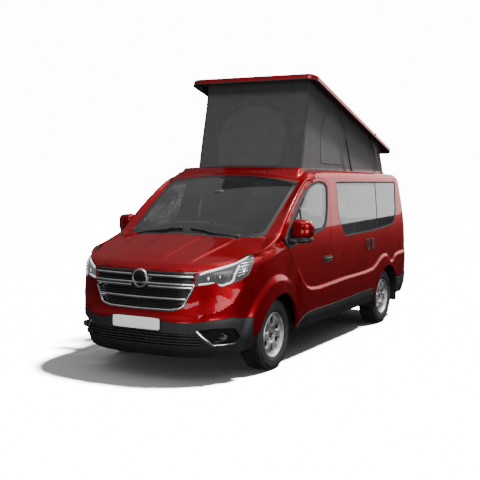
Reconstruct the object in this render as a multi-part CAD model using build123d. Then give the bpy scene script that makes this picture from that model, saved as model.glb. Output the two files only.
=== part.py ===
"""Camper van with a tilting pop-up roof, built as separate panels, seats, running gear and wheels.

Millimetres. The van faces -Y, its left side is +X, +Z is up. The origin is on the ground at the
middle of the length and width.
"""
import math
import os
from build123d import *

# ---- whole vehicle
LENGTH = 5080.0
WIDTH = 1956.0
ROOF_HEIGHT = 1950.0
WHEELBASE = 3098.0
FRONT_OVERHANG = 1014.0
TRACK_FRONT = 1615.0
TRACK_REAR = 1628.0

# ---- wheels and tyres
TYRE_DIAMETER = 690.0
TYRE_WIDTH = 215.0
RIM_DIAMETER = 432.0
RIM_LIP = 16.0
RIM_WALL = 9.0
RIM_OFFSET = 18.0
HUB_RADIUS = 70.0
SPINDLE_RADIUS = 20.0
SPINDLE_CLEARANCE = 0.05
SPOKES = 6
SPOKE_WIDTH = 92.0
STUD_CIRCLE = 120.0
STUD_HOLE = 7.0
STUDS = 5
STEER_AXIS_X = 720.0
KINGPIN_RADIUS = 12.0

# ---- shell thicknesses
SIDE_DEPTH = 60.0
WING_DEPTH = 22.0
ROOF_DEPTH = 40.0
BONNET_DEPTH = 32.0
BUMPER_DEPTH = 45.0
LAMP_DEPTH = 110.0
TAIL_DEPTH = 58.0
GLASS = 6.0
EDGE_RADIUS = 85.0
FLOOR_DEPTH = 40.0

# ---- gaps
DOOR_GAP = 7.0
PANEL_GAP = 6.0
BONNET_EDGE_Z = 1018.0
FRONT_ARCH_RADIUS = 412.0
REAR_ARCH_RADIUS = 402.0
ARCH_WALL = 8.0

# ---- pop-up roof
POP_WIDTH = 1580.0
POP_LENGTH = 2802.0
POP_FRONT_Y = -490.0
POP_TOP_Z = 2020.0
POP_FRONT_DEPTH = 75.0
POP_REAR_DEPTH = 66.0
POP_WALL = 14.0
POP_CORNER = 95.0
POP_ANGLE = 15.6
POP_POLE_Y = 3160.0
POP_POLE_Z = 1931.0
FRAME_HALF_WIDTH = 652.0
FRAME_FRONT_Y = -402.0
FRAME_REAR_Y = 2282.0
FRAME_WALL = 40.0
FRAME_TOP_Z = 1941.0
CANVAS_WALL = 3.0
TENT_TOP_FRONT_Y = -315.0
TENT_TOP_REAR_Y = 2022.0
STRUT_X = 690.0
STRUT_FOOT_Y = 992.0
STRUT_FOOT_Z = 1947.0
STRUT_HEAD_Y = 637.0
STRUT_HEAD_Z = 2668.0
STRUT_TUBE = 10.0
STRUT_ROD = 4.5
STRUT_TUBE_LENGTH = 405.0
STRUT_ROD_OVERLAP = 28.0
STAY_FOOT_Y = 2049.0
STAY_FOOT_Z = 1947.0
STAY_ELBOW_Y = 1879.0
STAY_ELBOW_Z = 2194.0
STAY_HEAD_Y = 1655.0
STAY_HEAD_Z = 2380.0
STAY_WIDTH = 18.0
STAY_THICKNESS = 6.0
PIN_RADIUS = 4.0
PIN_CLEARANCE = 0.05

TAIL_Y = LENGTH / 2
NOSE_Y = -LENGTH / 2
FRONT_AXLE_Y = NOSE_Y + FRONT_OVERHANG
REAR_AXLE_Y = FRONT_AXLE_Y + WHEELBASE
AXLE_Z = TYRE_DIAMETER / 2
TYRE_RADIUS = TYRE_DIAMETER / 2
RIM_RADIUS = RIM_DIAMETER / 2

# Half width of the body side against height: (height, half width).
SECTION = [(200, 900), (340, 925), (450, 958), (600, 973), (850, 978), (1100, 974), (1250, 966),
           (1500, 935), (1700, 905), (1850, 880), (2000, 855)]
# Nose and tail against height: (height, station).
NOSE = [(200, -2440), (330, -2520), (450, -2540), (560, -2536), (640, -2505), (750, -2485),
        (900, -2479), (1000, -2476), (1100, -2460), (1400, -2400)]
TAIL = [(200, 2480), (380, 2538), (470, 2540), (560, 2538), (640, 2490), (1000, 2478), (1250, 2460),
        (1600, 2425), (1880, 2380), (2000, 2360)]
# Centre line of the bonnet, the windscreen and the roof: (station, height).
BONNET_LINE = [(-2700, 930), (-2476, 1050), (-2300, 1118), (-2100, 1180), (-1900, 1236), (-1700, 1290),
               (-1400, 1362), (-1100, 1400), (-1000, 1400)]
SCREEN_LINE = [(-1900, 1160), (-1700, 1290), (-1230, 1600), (-760, 1866), (-500, 1990), (0, 2200)]
ROOF_LINE = [(-1200, 1700), (-800, 1868), (-700, 1900), (-500, 1935), (0, 1950), (800, 1942),
             (1600, 1926), (2300, 1902), (2600, 1885)]


def across(x):
    """Drawn sideways distance to the built one."""
    return x * WIDTH / 1956.0


def along(y):
    """Drawn station to the built one, piecewise between nose, axles and tail."""
    drawn = [-2540.0, -1526.0, 1572.0, 2540.0]
    built = [NOSE_Y, FRONT_AXLE_Y, REAR_AXLE_Y, TAIL_Y]
    i = 0 if y < drawn[1] else (1 if y < drawn[2] else 2)
    return built[i] + (y - drawn[i]) * (built[i + 1] - built[i]) / (drawn[i + 1] - drawn[i])


def up(z):
    """Drawn height to the built one."""
    return z * ROOF_HEIGHT / 1950.0


def fair(rows, t):
    """Smooth monotone curve through the rows, straight beyond them."""
    n = len(rows)
    if t <= rows[0][0]:
        return rows[0][1] + (t - rows[0][0]) * (rows[1][1] - rows[0][1]) / (rows[1][0] - rows[0][0])
    if t >= rows[-1][0]:
        return rows[-1][1] + (t - rows[-1][0]) * (rows[-1][1] - rows[-2][1]) / (rows[-1][0] - rows[-2][0])
    i = max(k for k in range(n - 1) if rows[k][0] <= t)
    chords = [(rows[k + 1][1] - rows[k][1]) / (rows[k + 1][0] - rows[k][0]) for k in range(n - 1)]

    def slope(k):
        if k == 0 or k == n - 1:
            return chords[min(k, n - 2)]
        a, b = chords[k - 1], chords[k]
        return 0.0 if a * b <= 0 else 2 * a * b / (a + b)

    h = rows[i + 1][0] - rows[i][0]
    s = (t - rows[i][0]) / h
    a, b = rows[i][1], rows[i + 1][1]
    return ((1 + 2 * s) * (1 - s) ** 2 * a + s * (1 - s) ** 2 * h * slope(i)
            + s * s * (3 - 2 * s) * b + s * s * (s - 1) * h * slope(i + 1))


SECTION = [(up(z), across(x)) for z, x in SECTION]
NOSE = [(up(z), along(y)) for z, y in NOSE]
TAIL = [(up(z), along(y)) for z, y in TAIL]
BONNET_LINE = [(along(y), up(z)) for y, z in BONNET_LINE]
SCREEN_LINE = [(along(y), up(z)) for y, z in SCREEN_LINE]
ROOF_LINE = [(along(y), up(z)) for y, z in ROOF_LINE]
REAR_SHOULDER_Y = along(1900)


def plan_distance(x, y, z):
    """Signed distance to the body side, nose and tail at one height."""
    width = fair(SECTION, z)
    ratio = abs(x) / width
    if y < FRONT_AXLE_Y:
        reach, power = FRONT_AXLE_Y - fair(NOSE, z), 2.9
        t = (FRONT_AXLE_Y - y) / reach
    elif y > REAR_SHOULDER_Y:
        reach, power = fair(TAIL, z) - REAR_SHOULDER_Y, 8.0
        t = (y - REAR_SHOULDER_Y) / reach
    else:
        reach, power, t = 1.0, 2.0, 0.0
    slope_x = 3 / width * ratio ** 2
    slope_y = power / reach * t ** (power - 1) if t > 0 else 0.0
    return (ratio ** 3 + t ** power - 1) / max(math.hypot(slope_x, slope_y), 1 / width)


def screen_height(x, y):
    """Height of the windscreen surface, bowed towards the corners."""
    a = (x / across(760)) ** 2
    return fair(SCREEN_LINE, y - a * (180 - 0.075 * (y - along(-1520))))


def top_distance(x, y, z):
    """Signed distance to the bonnet, windscreen and roof surfaces."""
    a = abs(x) / across(800)
    bonnet = fair(BONNET_LINE, y) - 60 * a ** 2.2
    screen = screen_height(x, y)
    roof = fair(ROOF_LINE, y) - 15 * a * a
    blend = 30.0
    h = max(blend - abs(screen - roof), 0) / blend
    cabin = min(screen, roof) - h * h * blend / 4
    steep = 0.84 if cabin > bonnet and screen < roof else 0.98
    return (z - max(bonnet, cabin)) * steep


def body_distance(x, y, z):
    """Signed distance to the outside of the body, edges rounded."""
    a = plan_distance(x, y, z)
    b = top_distance(x, y, z)
    return min(-EDGE_RADIUS, max(a, b)) + math.hypot(max(a + EDGE_RADIUS, 0), max(b + EDGE_RADIUS, 0))


def edge_drop(distance):
    """How far a skin falls away as it nears the rounded edge it shares with the next one."""
    near = min(distance, -0.2 * EDGE_RADIUS) + EDGE_RADIUS
    return EDGE_RADIUS - math.sqrt(EDGE_RADIUS ** 2 - near ** 2) if near > 0 else 0.0


def upright_distance(x, y, z):
    """Signed distance to the upright skins, falling away at the roof and screen edges."""
    return plan_distance(x, y, z) + edge_drop(top_distance(x, y, z))


def upper_distance(x, y, z):
    """Signed distance to the bonnet, screen and roof skins, falling away at the sides."""
    return top_distance(x, y, z) + edge_drop(plan_distance(x, y, z))


def meet(start, direction, reach, inset, field):
    """Point where a ray from inside the body reaches a skin, less an inset."""
    low, high = 0.0, reach
    for _ in range(34):
        mid = (low + high) / 2
        if field(*(s + d * mid for s, d in zip(start, direction))) > -inset:
            high = mid
        else:
            low = mid
    return Vector(*(s + d * low for s, d in zip(start, direction)))


def spread(a, b, n):
    """n evenly spaced values from a to b."""
    return [a + (b - a) * i / (n - 1) for i in range(n)]


def skin(rays, inset, field):
    """Smooth face through the points where a grid of rays meets a skin, less an inset."""
    points = [[meet(start, direction, 1500.0, inset, field) for start, direction in row] for row in rays]
    return Face.make_surface_from_array_of_points(points, tol=0.6, min_deg=3, max_deg=3)


def wall(rays, outer_inset, inner_inset, field):
    """Solid between two skins met by the same grid of rays."""
    outer, inner = skin(rays, outer_inset, field), skin(rays, inner_inset, field)
    ends = []
    for edge in outer.edges():
        middle = edge.position_at(0.5)
        twin = min(inner.edges(), key=lambda other: (other.position_at(0.5) - middle).length)
        ends.append(Face.make_surface_from_curves(edge, twin))
    return Solid(Shell([outer, inner] + ends))


def side_patch(y0, y1, z0, z1, depth):
    """Left body side between two stations and two heights."""
    rays = [[((0, y, z), (1, 0, 0)) for z in spread(z0, z1, 20)] for y in spread(y0, y1, 34)]
    return Solid.extrude(skin(rays, 0.0, upright_distance), Vector(-depth, 0, 0))


def top_patch(x0, x1, y0, y1, depth):
    """Bonnet or windscreen area seen from above."""
    rays = [[((x, y, up(700)), (0, 0, 1)) for y in spread(y0, y1, 30)] for x in spread(x0, x1, 29)]
    return Solid.extrude(skin(rays, 0.0, upper_distance), Vector(0, 0, -depth))


def roof_wall(y0, y1, depth):
    """Roof with both cant rails."""
    fan = [math.radians(a) for a in spread(12, 168, 49)]
    rays = [[((0, y, up(1640)), (math.cos(a), 0, math.sin(a))) for a in fan] for y in spread(y0, y1, 30)]
    return wall(rays, 0.0, depth, body_distance)


def nose_wall(outer_inset, inner_inset):
    """Front end from under the bumper to the bonnet."""
    fan = [math.radians(a) for a in spread(-74, 74, 45)]
    lifts = [math.radians(a) for a in spread(-31, 32, 24)]
    rays = []
    for a in fan:
        row = []
        for e in lifts:
            direction = (math.sin(a) * math.cos(e), -math.cos(a) * math.cos(e), math.sin(e))
            row.append(((0, FRONT_AXLE_Y, up(700)), direction))
        rays.append(row)
    return wall(rays, outer_inset, inner_inset, body_distance)


def tail_wall(outer_inset, inner_inset):
    """Rear end from under the bumper to the roof."""
    fan = [math.radians(a) for a in spread(-66, 66, 49)]
    rays = [[((0, REAR_SHOULDER_Y, z), (math.sin(a), math.cos(a), 0)) for a in fan]
            for z in spread(up(300), up(1880), 26)]
    return wall(rays, outer_inset, inner_inset, upright_distance)


def grow(points, amount):
    """Closed outline moved outwards (or inwards, if negative) by an amount."""
    n = len(points)
    area = sum(points[i][0] * points[(i + 1) % n][1] - points[(i + 1) % n][0] * points[i][1] for i in range(n))
    turn = 1 if area > 0 else -1
    result = []
    for i in range(n):
        a, b, c = points[i - 1], points[i], points[(i + 1) % n]
        u = Vector(b[0] - a[0], b[1] - a[1]).normalized()
        v = Vector(c[0] - b[0], c[1] - b[1]).normalized()
        normal_u, normal_v = Vector(u.Y, -u.X) * turn, Vector(v.Y, -v.X) * turn
        half = normal_u + normal_v
        step = half * (2 / (half.length ** 2))
        result.append((b[0] + step.X * amount, b[1] + step.Y * amount))
    return result


def prism_x(points, x0, x1):
    """Outline of (y, z) points carried from x0 to x1."""
    return extrude(make_face(Polyline(*[(x0, y, z) for y, z in points], close=True)), x1 - x0, dir=(1, 0, 0))


def prism_y(points, y0, y1):
    """Outline of (x, z) points carried from y0 to y1."""
    return extrude(make_face(Polyline(*[(x, y0, z) for x, z in points], close=True)), y1 - y0, dir=(0, 1, 0))


def prism_z(points, z0, z1):
    """Outline of (x, y) points carried from z0 to z1."""
    return extrude(make_face(Polyline(*[(x, y, z0) for x, y in points], close=True)), z1 - z0, dir=(0, 0, 1))


def block(x0, x1, y0, y1, z0, z1):
    """Box between two corners."""
    return Pos((x0 + x1) / 2, (y0 + y1) / 2, (z0 + z1) / 2) * Box(abs(x1 - x0), abs(y1 - y0), abs(z1 - z0))


def round_bar(a, b, radius):
    """Straight round bar between two points."""
    start, end = Vector(*a), Vector(*b)
    return Plane(start, z_dir=end - start) * Cylinder(radius, (end - start).length,
                                                      align=(Align.CENTER, Align.CENTER, Align.MIN))


def drum(x0, x1, y, z, radius):
    """Cylinder along X."""
    return round_bar((x0, y, z), (x1, y, z), radius)


def both(shape):
    """Shape and its mirror image on the other side of the van."""
    return shape + mirror(shape, about=Plane.YZ)


def group(*shapes):
    """Several pieces that touch, kept as separate solids of one node."""
    return Compound([solid for shape in shapes for solid in shape.solids()])


def drawn(points):
    """Drawn (station, height) outline to the built one."""
    return [(along(y), up(z)) for y, z in points]


def drawn_front(points):
    """Drawn (sideways, height) outline to the built one."""
    return [(across(x), up(z)) for x, z in points]


# Cab door opening and its window, front doors, side view.
DOOR_OUTLINE = drawn([
    (-1120, 500), (-1165, 700), (-1225, 900), (-1290, 1050), (-1352, 1165), (-1440, 1290), (-1330, 1400),
    (-1228, 1485), (-1075, 1600), (-908, 1715), (-800, 1778), (-700, 1822), (-575, 1850), (-437, 1860),
    (-275, 1846), (-190, 1800), (-200, 1657), (-235, 1516), (-262, 1378), (-285, 1275), (-300, 1180),
    (-312, 1091), (-328, 950), (-336, 751), (-345, 500)])
DOOR_WINDOW = drawn([
    (-1392, 1286), (-1305, 1362), (-1201, 1447), (-1050, 1559), (-884, 1675), (-780, 1734), (-684, 1780),
    (-568, 1812), (-437, 1825), (-300, 1812), (-235, 1765), (-262, 1657), (-308, 1516), (-372, 1385),
    (-461, 1313), (-639, 1293), (-1335, 1172), (-1400, 1228)])
SIDE_WINDOW = drawn([
    (15, 1790), (40, 1809), (700, 1808), (2030, 1797), (2050, 1766), (2001, 1645), (1945, 1441),
    (1850, 1285), (1790, 1260), (1464, 1242), (981, 1216), (536, 1213), (160, 1206), (110, 1222),
    (57, 1285), (-5, 1397), (-10, 1507)])
SLIDING_DOOR = drawn([
    (-285, 500), (-262, 1378), (-150, 1800), (-100, 1838), (1000, 1838), (1040, 1800), (1040, 1240),
    (1090, 900), (1060, 500)])
SIDE_OUTLINE = drawn([
    (-1040, 500), (-1120, 500), (-1165, 700), (-1225, 900), (-1290, 1050), (-1352, 1165), (-1462, 1262),
    (-1470, 1300), (-1360, 1395), (-1150, 1570), (-905, 1745), (-800, 1842), (2330, 1842), (2330, 330),
    (1010, 330), (1004, 500)])
SILL_TRIM = drawn([(-1110, 345), (-1135, 440), (-1120, 500), (1004, 500), (1010, 345)])
WING_OUTLINE = drawn([
    (-2030, 560), (-2040, 860), (-2024, 960), (-1950, 1165), (-1862, 1178), (-1700, 1205), (-1500, 1262),
    (-1468, 1262), (-1352, 1165), (-1290, 1050), (-1225, 900), (-1165, 700), (-1120, 500), (-1135, 440),
    (-1110, 345), (-1526, 345), (-1980, 345)])

# Bonnet, scuttle, windscreen foot and wing tops in plan: (sideways, station).
SCUTTLE = [(0, -1740), (300, -1728), (560, -1690), (815, -1590)]
BONNET_SIDE = [(872, -1760), (892, -1861), (871, -1960), (830, -2078), (782, -2180), (723, -2262), (646, -2335),
               (541, -2405), (300, -2448), (0, -2462)]
SCREEN_FOOT = [(790, -1500), (560, -1628), (300, -1672), (0, -1686)]
BONNET_PLAN = [(across(x), along(y)) for x, y in
               [(-x, y) for x, y in SCUTTLE[:0:-1]] + SCUTTLE + BONNET_SIDE
               + [(-x, y) for x, y in BONNET_SIDE[-2::-1]]]
COWL_PLAN = [(across(x), along(y)) for x, y in
             [(-x, y + PANEL_GAP) for x, y in SCUTTLE[:0:-1]] + [(x, y + PANEL_GAP) for x, y in SCUTTLE]
             + SCREEN_FOOT + [(-x, y) for x, y in SCREEN_FOOT[-2::-1]]]
WING_TOP_PLAN = [(across(x), along(y)) for x, y in [
    (898, -1861), (878, -1760), (821, -1590), (800, -1500), (950, -1500), (950, -1861)]]

left_side = side_patch(along(-1560), along(2330), up(335), up(1870), SIDE_DEPTH)
nose = nose_wall(0.0, BUMPER_DEPTH)
tail = tail_wall(0.0, TAIL_DEPTH)
front_arch = drum(across(500), across(1200), FRONT_AXLE_Y, AXLE_Z, FRONT_ARCH_RADIUS)
rear_arch = drum(across(560), across(1200), REAR_AXLE_Y, AXLE_Z, REAR_ARCH_RADIUS)

# ---- tail: pillars, tailgate, lamps
TAILGATE_OUTLINE = drawn_front([(-800, 700), (-800, 1500), (-765, 1842), (765, 1842), (800, 1500), (800, 700)])
TAILGATE_WINDOW = drawn_front([(-700, 1270), (-665, 1780), (665, 1780), (700, 1270)])
TAIL_LAMP = drawn_front([(830, 950), (830, 1420), (1000, 1420), (1000, 950)])
upper_tail = tail & block(across(-990), across(990), along(2330), along(2600), up(640), up(1842))
pillars = upper_tail - prism_y(TAILGATE_OUTLINE, along(2200), along(2600))
lamp_cut = both(prism_y(TAIL_LAMP, along(2200), along(2600)))
tail_lamps = pillars & lamp_cut
pillars = pillars - lamp_cut
tailgate = tail & prism_y(grow(TAILGATE_OUTLINE, -PANEL_GAP), along(2200), along(2600))
tailgate = tailgate - prism_y(TAILGATE_WINDOW, along(2200), along(2600))
tailgate_glass = tail_wall(0.0, GLASS) & prism_y(TAILGATE_WINDOW, along(2300), along(2600))

# ---- body sides
window_cut = prism_x(SIDE_WINDOW, across(700), across(1100))
side_left = left_side & prism_x(SIDE_OUTLINE, across(600), across(1100))
side_left = side_left - prism_x(DOOR_OUTLINE, across(600), across(1100)) - rear_arch
side_left = side_left - prism_x(drawn([(-1130, 300), (-1130, 500), (1006, 500), (1006, 300)]), across(600), across(1100))
sliding_cut = prism_x(SLIDING_DOOR, across(600), across(1100))
sliding_door = mirror((left_side & sliding_cut) - window_cut, about=Plane.YZ)
side_left = side_left - window_cut
sill_trims = both(side_patch(along(-1200), along(1100), up(335), up(520), SIDE_DEPTH)
                  & prism_x(SILL_TRIM, across(600), across(1100)))
pillar = top_patch(across(760), across(950), along(-1560), along(-700), 42)
pillar = pillar & prism_z([(across(x), along(y)) for x, y in [
    (795, -1470), (800, -1200), (785, -736), (900, -736), (950, -1470)]], up(1200), up(2000))
pillar = pillar - prism_x(DOOR_OUTLINE, across(600), across(1100))
side_left = side_left + pillar
side_right = mirror(side_left - sliding_cut, about=Plane.YZ)
side_left = group(side_left, pillars & block(0, across(1000), along(2300), along(2600), 0, up(2000)))
side_right = group(side_right, pillars & block(across(-1000), 0, along(2300), along(2600), 0, up(2000)))
gate_zone = prism_y(TAILGATE_OUTLINE, along(2150), along(2600))
side_left = side_left - gate_zone - sill_trims
side_right = side_right - gate_zone - sill_trims
glass_skin = side_patch(along(-1560), along(2200), up(1120), up(1842), GLASS)
side_glass = both(glass_skin & window_cut)

# ---- cab doors with glass and mirrors
door_left = left_side & prism_x(grow(DOOR_OUTLINE, -DOOR_GAP), across(600), across(1100))
door_left = door_left - prism_x(DOOR_WINDOW, across(600), across(1100))
door_glass_left = glass_skin & prism_x(DOOR_WINDOW, across(600), across(1100))
door_glass_left = door_glass_left & prism_x(grow(DOOR_OUTLINE, -DOOR_GAP), across(600), across(1100))
mirror_shell = block(across(1000), across(1141), along(-1372), along(-1262), up(1226), up(1440))
mirror_shell = fillet(mirror_shell.edges(), 26)
mirror_arm = block(across(930), across(1040), along(-1345), along(-1285), up(1210), up(1250))
mirror_left = (mirror_shell + mirror_arm) - side_patch(along(-1450), along(-1200), up(1120), up(1400), 200)
mirror_left = mirror_left - door_glass_left
door_right = mirror(door_left, about=Plane.YZ)
door_glass_right = mirror(door_glass_left, about=Plane.YZ)
mirror_right = mirror(mirror_left, about=Plane.YZ)

# ---- wings, bonnet and nose
SEAM = drawn([(-2700, 150), (-2700, 1200), (-1950, 1200), (-2024, 960), (-2040, 860), (-2030, 560), (-1980, 345),
              (-1930, 150)])
wing_skin = side_patch(along(-2060), along(-1050), up(335), up(1275), WING_DEPTH)
wing = (wing_skin & prism_x(WING_OUTLINE, across(600), across(1100))) - front_arch
wing_top = top_patch(across(790), across(955), along(-1900), along(-1480), 30)
wing = wing + ((wing_top & prism_z(WING_TOP_PLAN, up(1000), up(1400))) - prism_x(DOOR_OUTLINE, across(600), across(1100)))
wing = wing - side_left
LAMP_OUTLINE = drawn_front([
    (552, 893), (548, 982), (572, 1008), (646, 1034), (723, 1060), (782, 1082), (830, 1108), (871, 1132),
    (905, 1150), (990, 1150), (990, 978), (920, 972), (889, 946), (835, 914), (754, 887), (661, 892)])
GRILLE_OUTLINE = drawn_front([
    (-541, 893), (-541, 1004), (541, 1004), (541, 893), (520, 844), (492, 785), (450, 703), (416, 680),
    (331, 664), (0, 658), (-331, 664), (-416, 680), (-450, 703), (-492, 785), (-520, 844)])
INTAKE_OUTLINE = drawn_front([(-620, 345), (-650, 410), (-600, 462), (600, 462), (650, 410), (620, 345)])
front_zone = prism_x(SEAM, across(-1100), across(1100))
lamp_zone = both(prism_y(LAMP_OUTLINE, along(-2600), along(-1880)))
grille_zone = prism_y(GRILLE_OUTLINE, along(-2600), along(-2200))
bonnet_zone = prism_z(grow(BONNET_PLAN, PANEL_GAP), up(BONNET_EDGE_Z - PANEL_GAP), up(1500))
low_nose = block(across(-990), across(990), along(-2600), along(-1900), up(235), up(1152))
nose = nose & front_zone & low_nose
front_bumper = nose - lamp_zone - grille_zone - bonnet_zone - both(front_arch)
front_bumper = front_bumper - prism_y(INTAKE_OUTLINE, along(-2600), along(-2300))
grille = nose & grille_zone
headlamps = (nose_wall(0.0, LAMP_DEPTH) & lamp_zone) & front_zone
headlamps = headlamps - bonnet_zone
intake_mesh = nose_wall(18.0, 30.0) & prism_y(INTAKE_OUTLINE, along(-2600), along(-2300))
grille = grille + intake_mesh
bonnet = top_patch(across(-905), across(905), along(-2478), along(-1560), BONNET_DEPTH)
bonnet = bonnet & prism_z(BONNET_PLAN, up(BONNET_EDGE_Z), up(1500))

# ---- roof, frame and fairing
roof_panel = roof_wall(along(-745), along(2350), ROOF_DEPTH)
roof_panel = roof_panel & prism_x(drawn([(-735, 1842), (-690, 1990), (2346, 1990), (2346, 1842)]),
                                  across(-1100), across(1100))
roof_panel = roof_panel + (tail & block(across(-990), across(990), along(2346), along(2600), up(1842), up(1872)))
roof_panel = roof_panel - both(prism_x(DOOR_OUTLINE, across(600), across(1100)))
frame_front, frame_rear = FRAME_FRONT_Y, FRAME_REAR_Y
frame_out = block(-FRAME_HALF_WIDTH, FRAME_HALF_WIDTH, frame_front, frame_rear, up(1880), FRAME_TOP_Z)
frame_in = block(-FRAME_HALF_WIDTH + FRAME_WALL, FRAME_HALF_WIDTH - FRAME_WALL, frame_front + FRAME_WALL,
                 frame_rear - FRAME_WALL, up(1700), up(2100))
roof_panel = roof_panel - frame_in
roof_panel = roof_panel + (frame_out - frame_in)
fairing = prism_x(drawn([(-625, 1890), (-610, 1944), (-570, 1974), (-522, 1978), (-500, 1900)]),
                  across(-735), across(735))
roof_fittings = fairing - roof_panel

# ---- windscreen
SCREEN_PLAN = [(across(x), along(y)) for x, y in [
    (-790, -1500), (-560, -1628), (-300, -1672), (0, -1686), (300, -1672), (560, -1628), (790, -1500),
    (795, -1200), (780, -742), (-780, -742), (-795, -1200)]]
windscreen = top_patch(across(-830), across(830), along(-1760), along(-640), GLASS)
windscreen = windscreen & prism_z(SCREEN_PLAN, up(1200), up(1985))
cowl = top_patch(across(-830), across(830), along(-1760), along(-1440), 30)
cowl = cowl & prism_z(COWL_PLAN, up(1100), up(1400))
cowl = cowl - both(wing) - side_left - side_right

# ---- rear bumper
rear_bumper = tail & block(across(-990), across(990), along(2000), along(2600), up(345), up(640))
rear_bumper = rear_bumper - both(left_side)

# ---- floor, bulkhead and wheel houses
floor_z0, floor_z1 = up(400), up(400) + FLOOR_DEPTH
floor_pan = block(across(-880), across(880), along(-1560), along(2400), floor_z0, floor_z1)
floor_pan = floor_pan - both(front_arch) - both(rear_arch)
bulkhead = block(across(-840), across(840), along(-1620), along(-1560), up(400), up(1190))
floor_pan = floor_pan + (bulkhead - both(front_arch))
front_house = drum(across(600), across(900), FRONT_AXLE_Y, AXLE_Z, FRONT_ARCH_RADIUS + ARCH_WALL)
front_house = front_house - drum(0, across(1200), FRONT_AXLE_Y, AXLE_Z, FRONT_ARCH_RADIUS)
front_house = front_house & block(0, across(950), along(-2100), along(-1000), AXLE_Z + 40, up(1400))
rear_house = drum(across(600), across(900), REAR_AXLE_Y, AXLE_Z, REAR_ARCH_RADIUS + ARCH_WALL)
rear_cap = drum(across(592), across(600), REAR_AXLE_Y, AXLE_Z, REAR_ARCH_RADIUS + ARCH_WALL)
rear_house = rear_house - drum(0, across(1200), REAR_AXLE_Y, AXLE_Z, REAR_ARCH_RADIUS)
rear_house = (rear_house + rear_cap) & block(0, across(950), along(1000), along(2100), floor_z1, up(1400))
houses = both(front_house + rear_house) - both(left_side) - both(wing)
floor_pan = floor_pan + houses
side_floor = both(block(across(850), across(890), along(-1000), along(1100), up(350), floor_z0))
floor_pan = (floor_pan + side_floor) - both(left_side) - sill_trims - rear_bumper - front_bumper - both(wing)

# ---- cab and living space
dash_profile = drawn([(-1560, 760), (-1560, 1150), (-1500, 1200), (-1330, 1165), (-1290, 1080), (-1330, 900), (-1400, 760)])
dashboard = prism_x(dash_profile, across(-780), across(780))


def seat(x, y, width):
    """Single seat facing forwards on a pedestal, with a headrest."""
    half = width / 2
    base = block(x - half * 0.8, x + half * 0.8, y - 200, y + 200, floor_z1, up(700))
    cushion = fillet(block(x - half, x + half, y - 270, y + 240, up(700), up(840)).edges(), 35)
    back = prism_x([(y + 170, up(820)), (y + 290, up(1420)), (y + 390, up(1400)), (y + 300, up(800))],
                   x - half, x + half)
    head = fillet(block(x - 130, x + 130, y + 290, y + 385, up(1440), up(1610)).edges(), 30)
    neck = block(x - 60, x + 60, y + 320, y + 350, up(1380), up(1460))
    return base + cushion + back + head + neck


front_seats = seat(across(430), along(-640), across(500)) + seat(across(-430), along(-640), across(500))
rear_bench = seat(across(-130), along(860), across(470)) + seat(across(-610), along(860), across(470))
cabinet = block(across(420), across(850), along(330), along(1120), floor_z1, up(1205))
cabinet = cabinet + block(across(420), across(590), along(1120), along(2100), floor_z1, up(1205))

RING = 186.0
wheel_centre = (across(430), along(-1115), up(1085))
steer_plane = Plane(wheel_centre, x_dir=(1, 0, 0), z_dir=(0, 0.76, 0.65))
steering_wheel = steer_plane * Torus(RING, 14) + steer_plane * Cylinder(52, 34)
for angle in (0, 180, 270):
    steering_wheel += steer_plane * Rot(0, 0, angle) * Pos(RING / 2, 0, 0) * Box(RING, 34, 12)
steering_wheel += steer_plane * Pos(0, 0, -75) * Cylinder(24, 130)
column = steer_plane * Pos(0, 0, -260) * Cylinder(34, 320)
column_bore = steer_plane * Pos(0, 0, -120) * Cylinder(24 + SPINDLE_CLEARANCE, 60)
dashboard = (dashboard + column) - column_bore
dashboard = dashboard - both(drum(across(590), across(910), FRONT_AXLE_Y, AXLE_Z, FRONT_ARCH_RADIUS + ARCH_WALL))

# ---- running gear
engine_block = block(across(-360), across(360), along(-2300), along(-1690), up(300), up(1000))
front_subframe = block(across(-470), across(470), FRONT_AXLE_Y - 200, FRONT_AXLE_Y + 260, up(215), up(300))
front_subframe += both(block(across(440), STEER_AXIS_X + 25, FRONT_AXLE_Y - 30, FRONT_AXLE_Y + 30, up(222), up(252)))
front_subframe += both(block(across(400), across(450), FRONT_AXLE_Y - 120, FRONT_AXLE_Y + 240, up(300), up(335)))
front_subframe += both(Pos(STEER_AXIS_X, FRONT_AXLE_Y, up(262)) * Cylinder(KINGPIN_RADIUS, up(80)))
rack = drum(across(-560), across(560), FRONT_AXLE_Y + 150, up(330), 24)
front_subframe += rack
FACE_FRONT = TRACK_FRONT / 2
FACE_REAR = TRACK_REAR / 2
knuckle_left = block(STEER_AXIS_X - 32, STEER_AXIS_X + 30, FRONT_AXLE_Y - 42, FRONT_AXLE_Y + 42, up(262), up(440))
knuckle_left -= Pos(STEER_AXIS_X, FRONT_AXLE_Y, up(262)) * Cylinder(KINGPIN_RADIUS + SPINDLE_CLEARANCE, up(90))
knuckle_left += drum(STEER_AXIS_X + 30, FACE_FRONT + RIM_OFFSET + 22, FRONT_AXLE_Y, AXLE_Z, SPINDLE_RADIUS)
knuckle_left += drum(STEER_AXIS_X + 20, FACE_FRONT - 20, FRONT_AXLE_Y, AXLE_Z, 48)
knuckle_right = mirror(knuckle_left, about=Plane.YZ)
rear_axle = drum(-FACE_REAR + 140, FACE_REAR - 140, REAR_AXLE_Y, AXLE_Z - 60, 42)
rear_axle += both(block(FACE_REAR - 190, FACE_REAR - 132, REAR_AXLE_Y - 50, REAR_AXLE_Y + 50, AXLE_Z - 105, AXLE_Z + 80))
rear_axle += both(drum(FACE_REAR - 140, FACE_REAR + RIM_OFFSET + 22, REAR_AXLE_Y, AXLE_Z, SPINDLE_RADIUS))
rear_axle += both(drum(FACE_REAR - 140, FACE_REAR - 25, REAR_AXLE_Y, AXLE_Z, 48))
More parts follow.
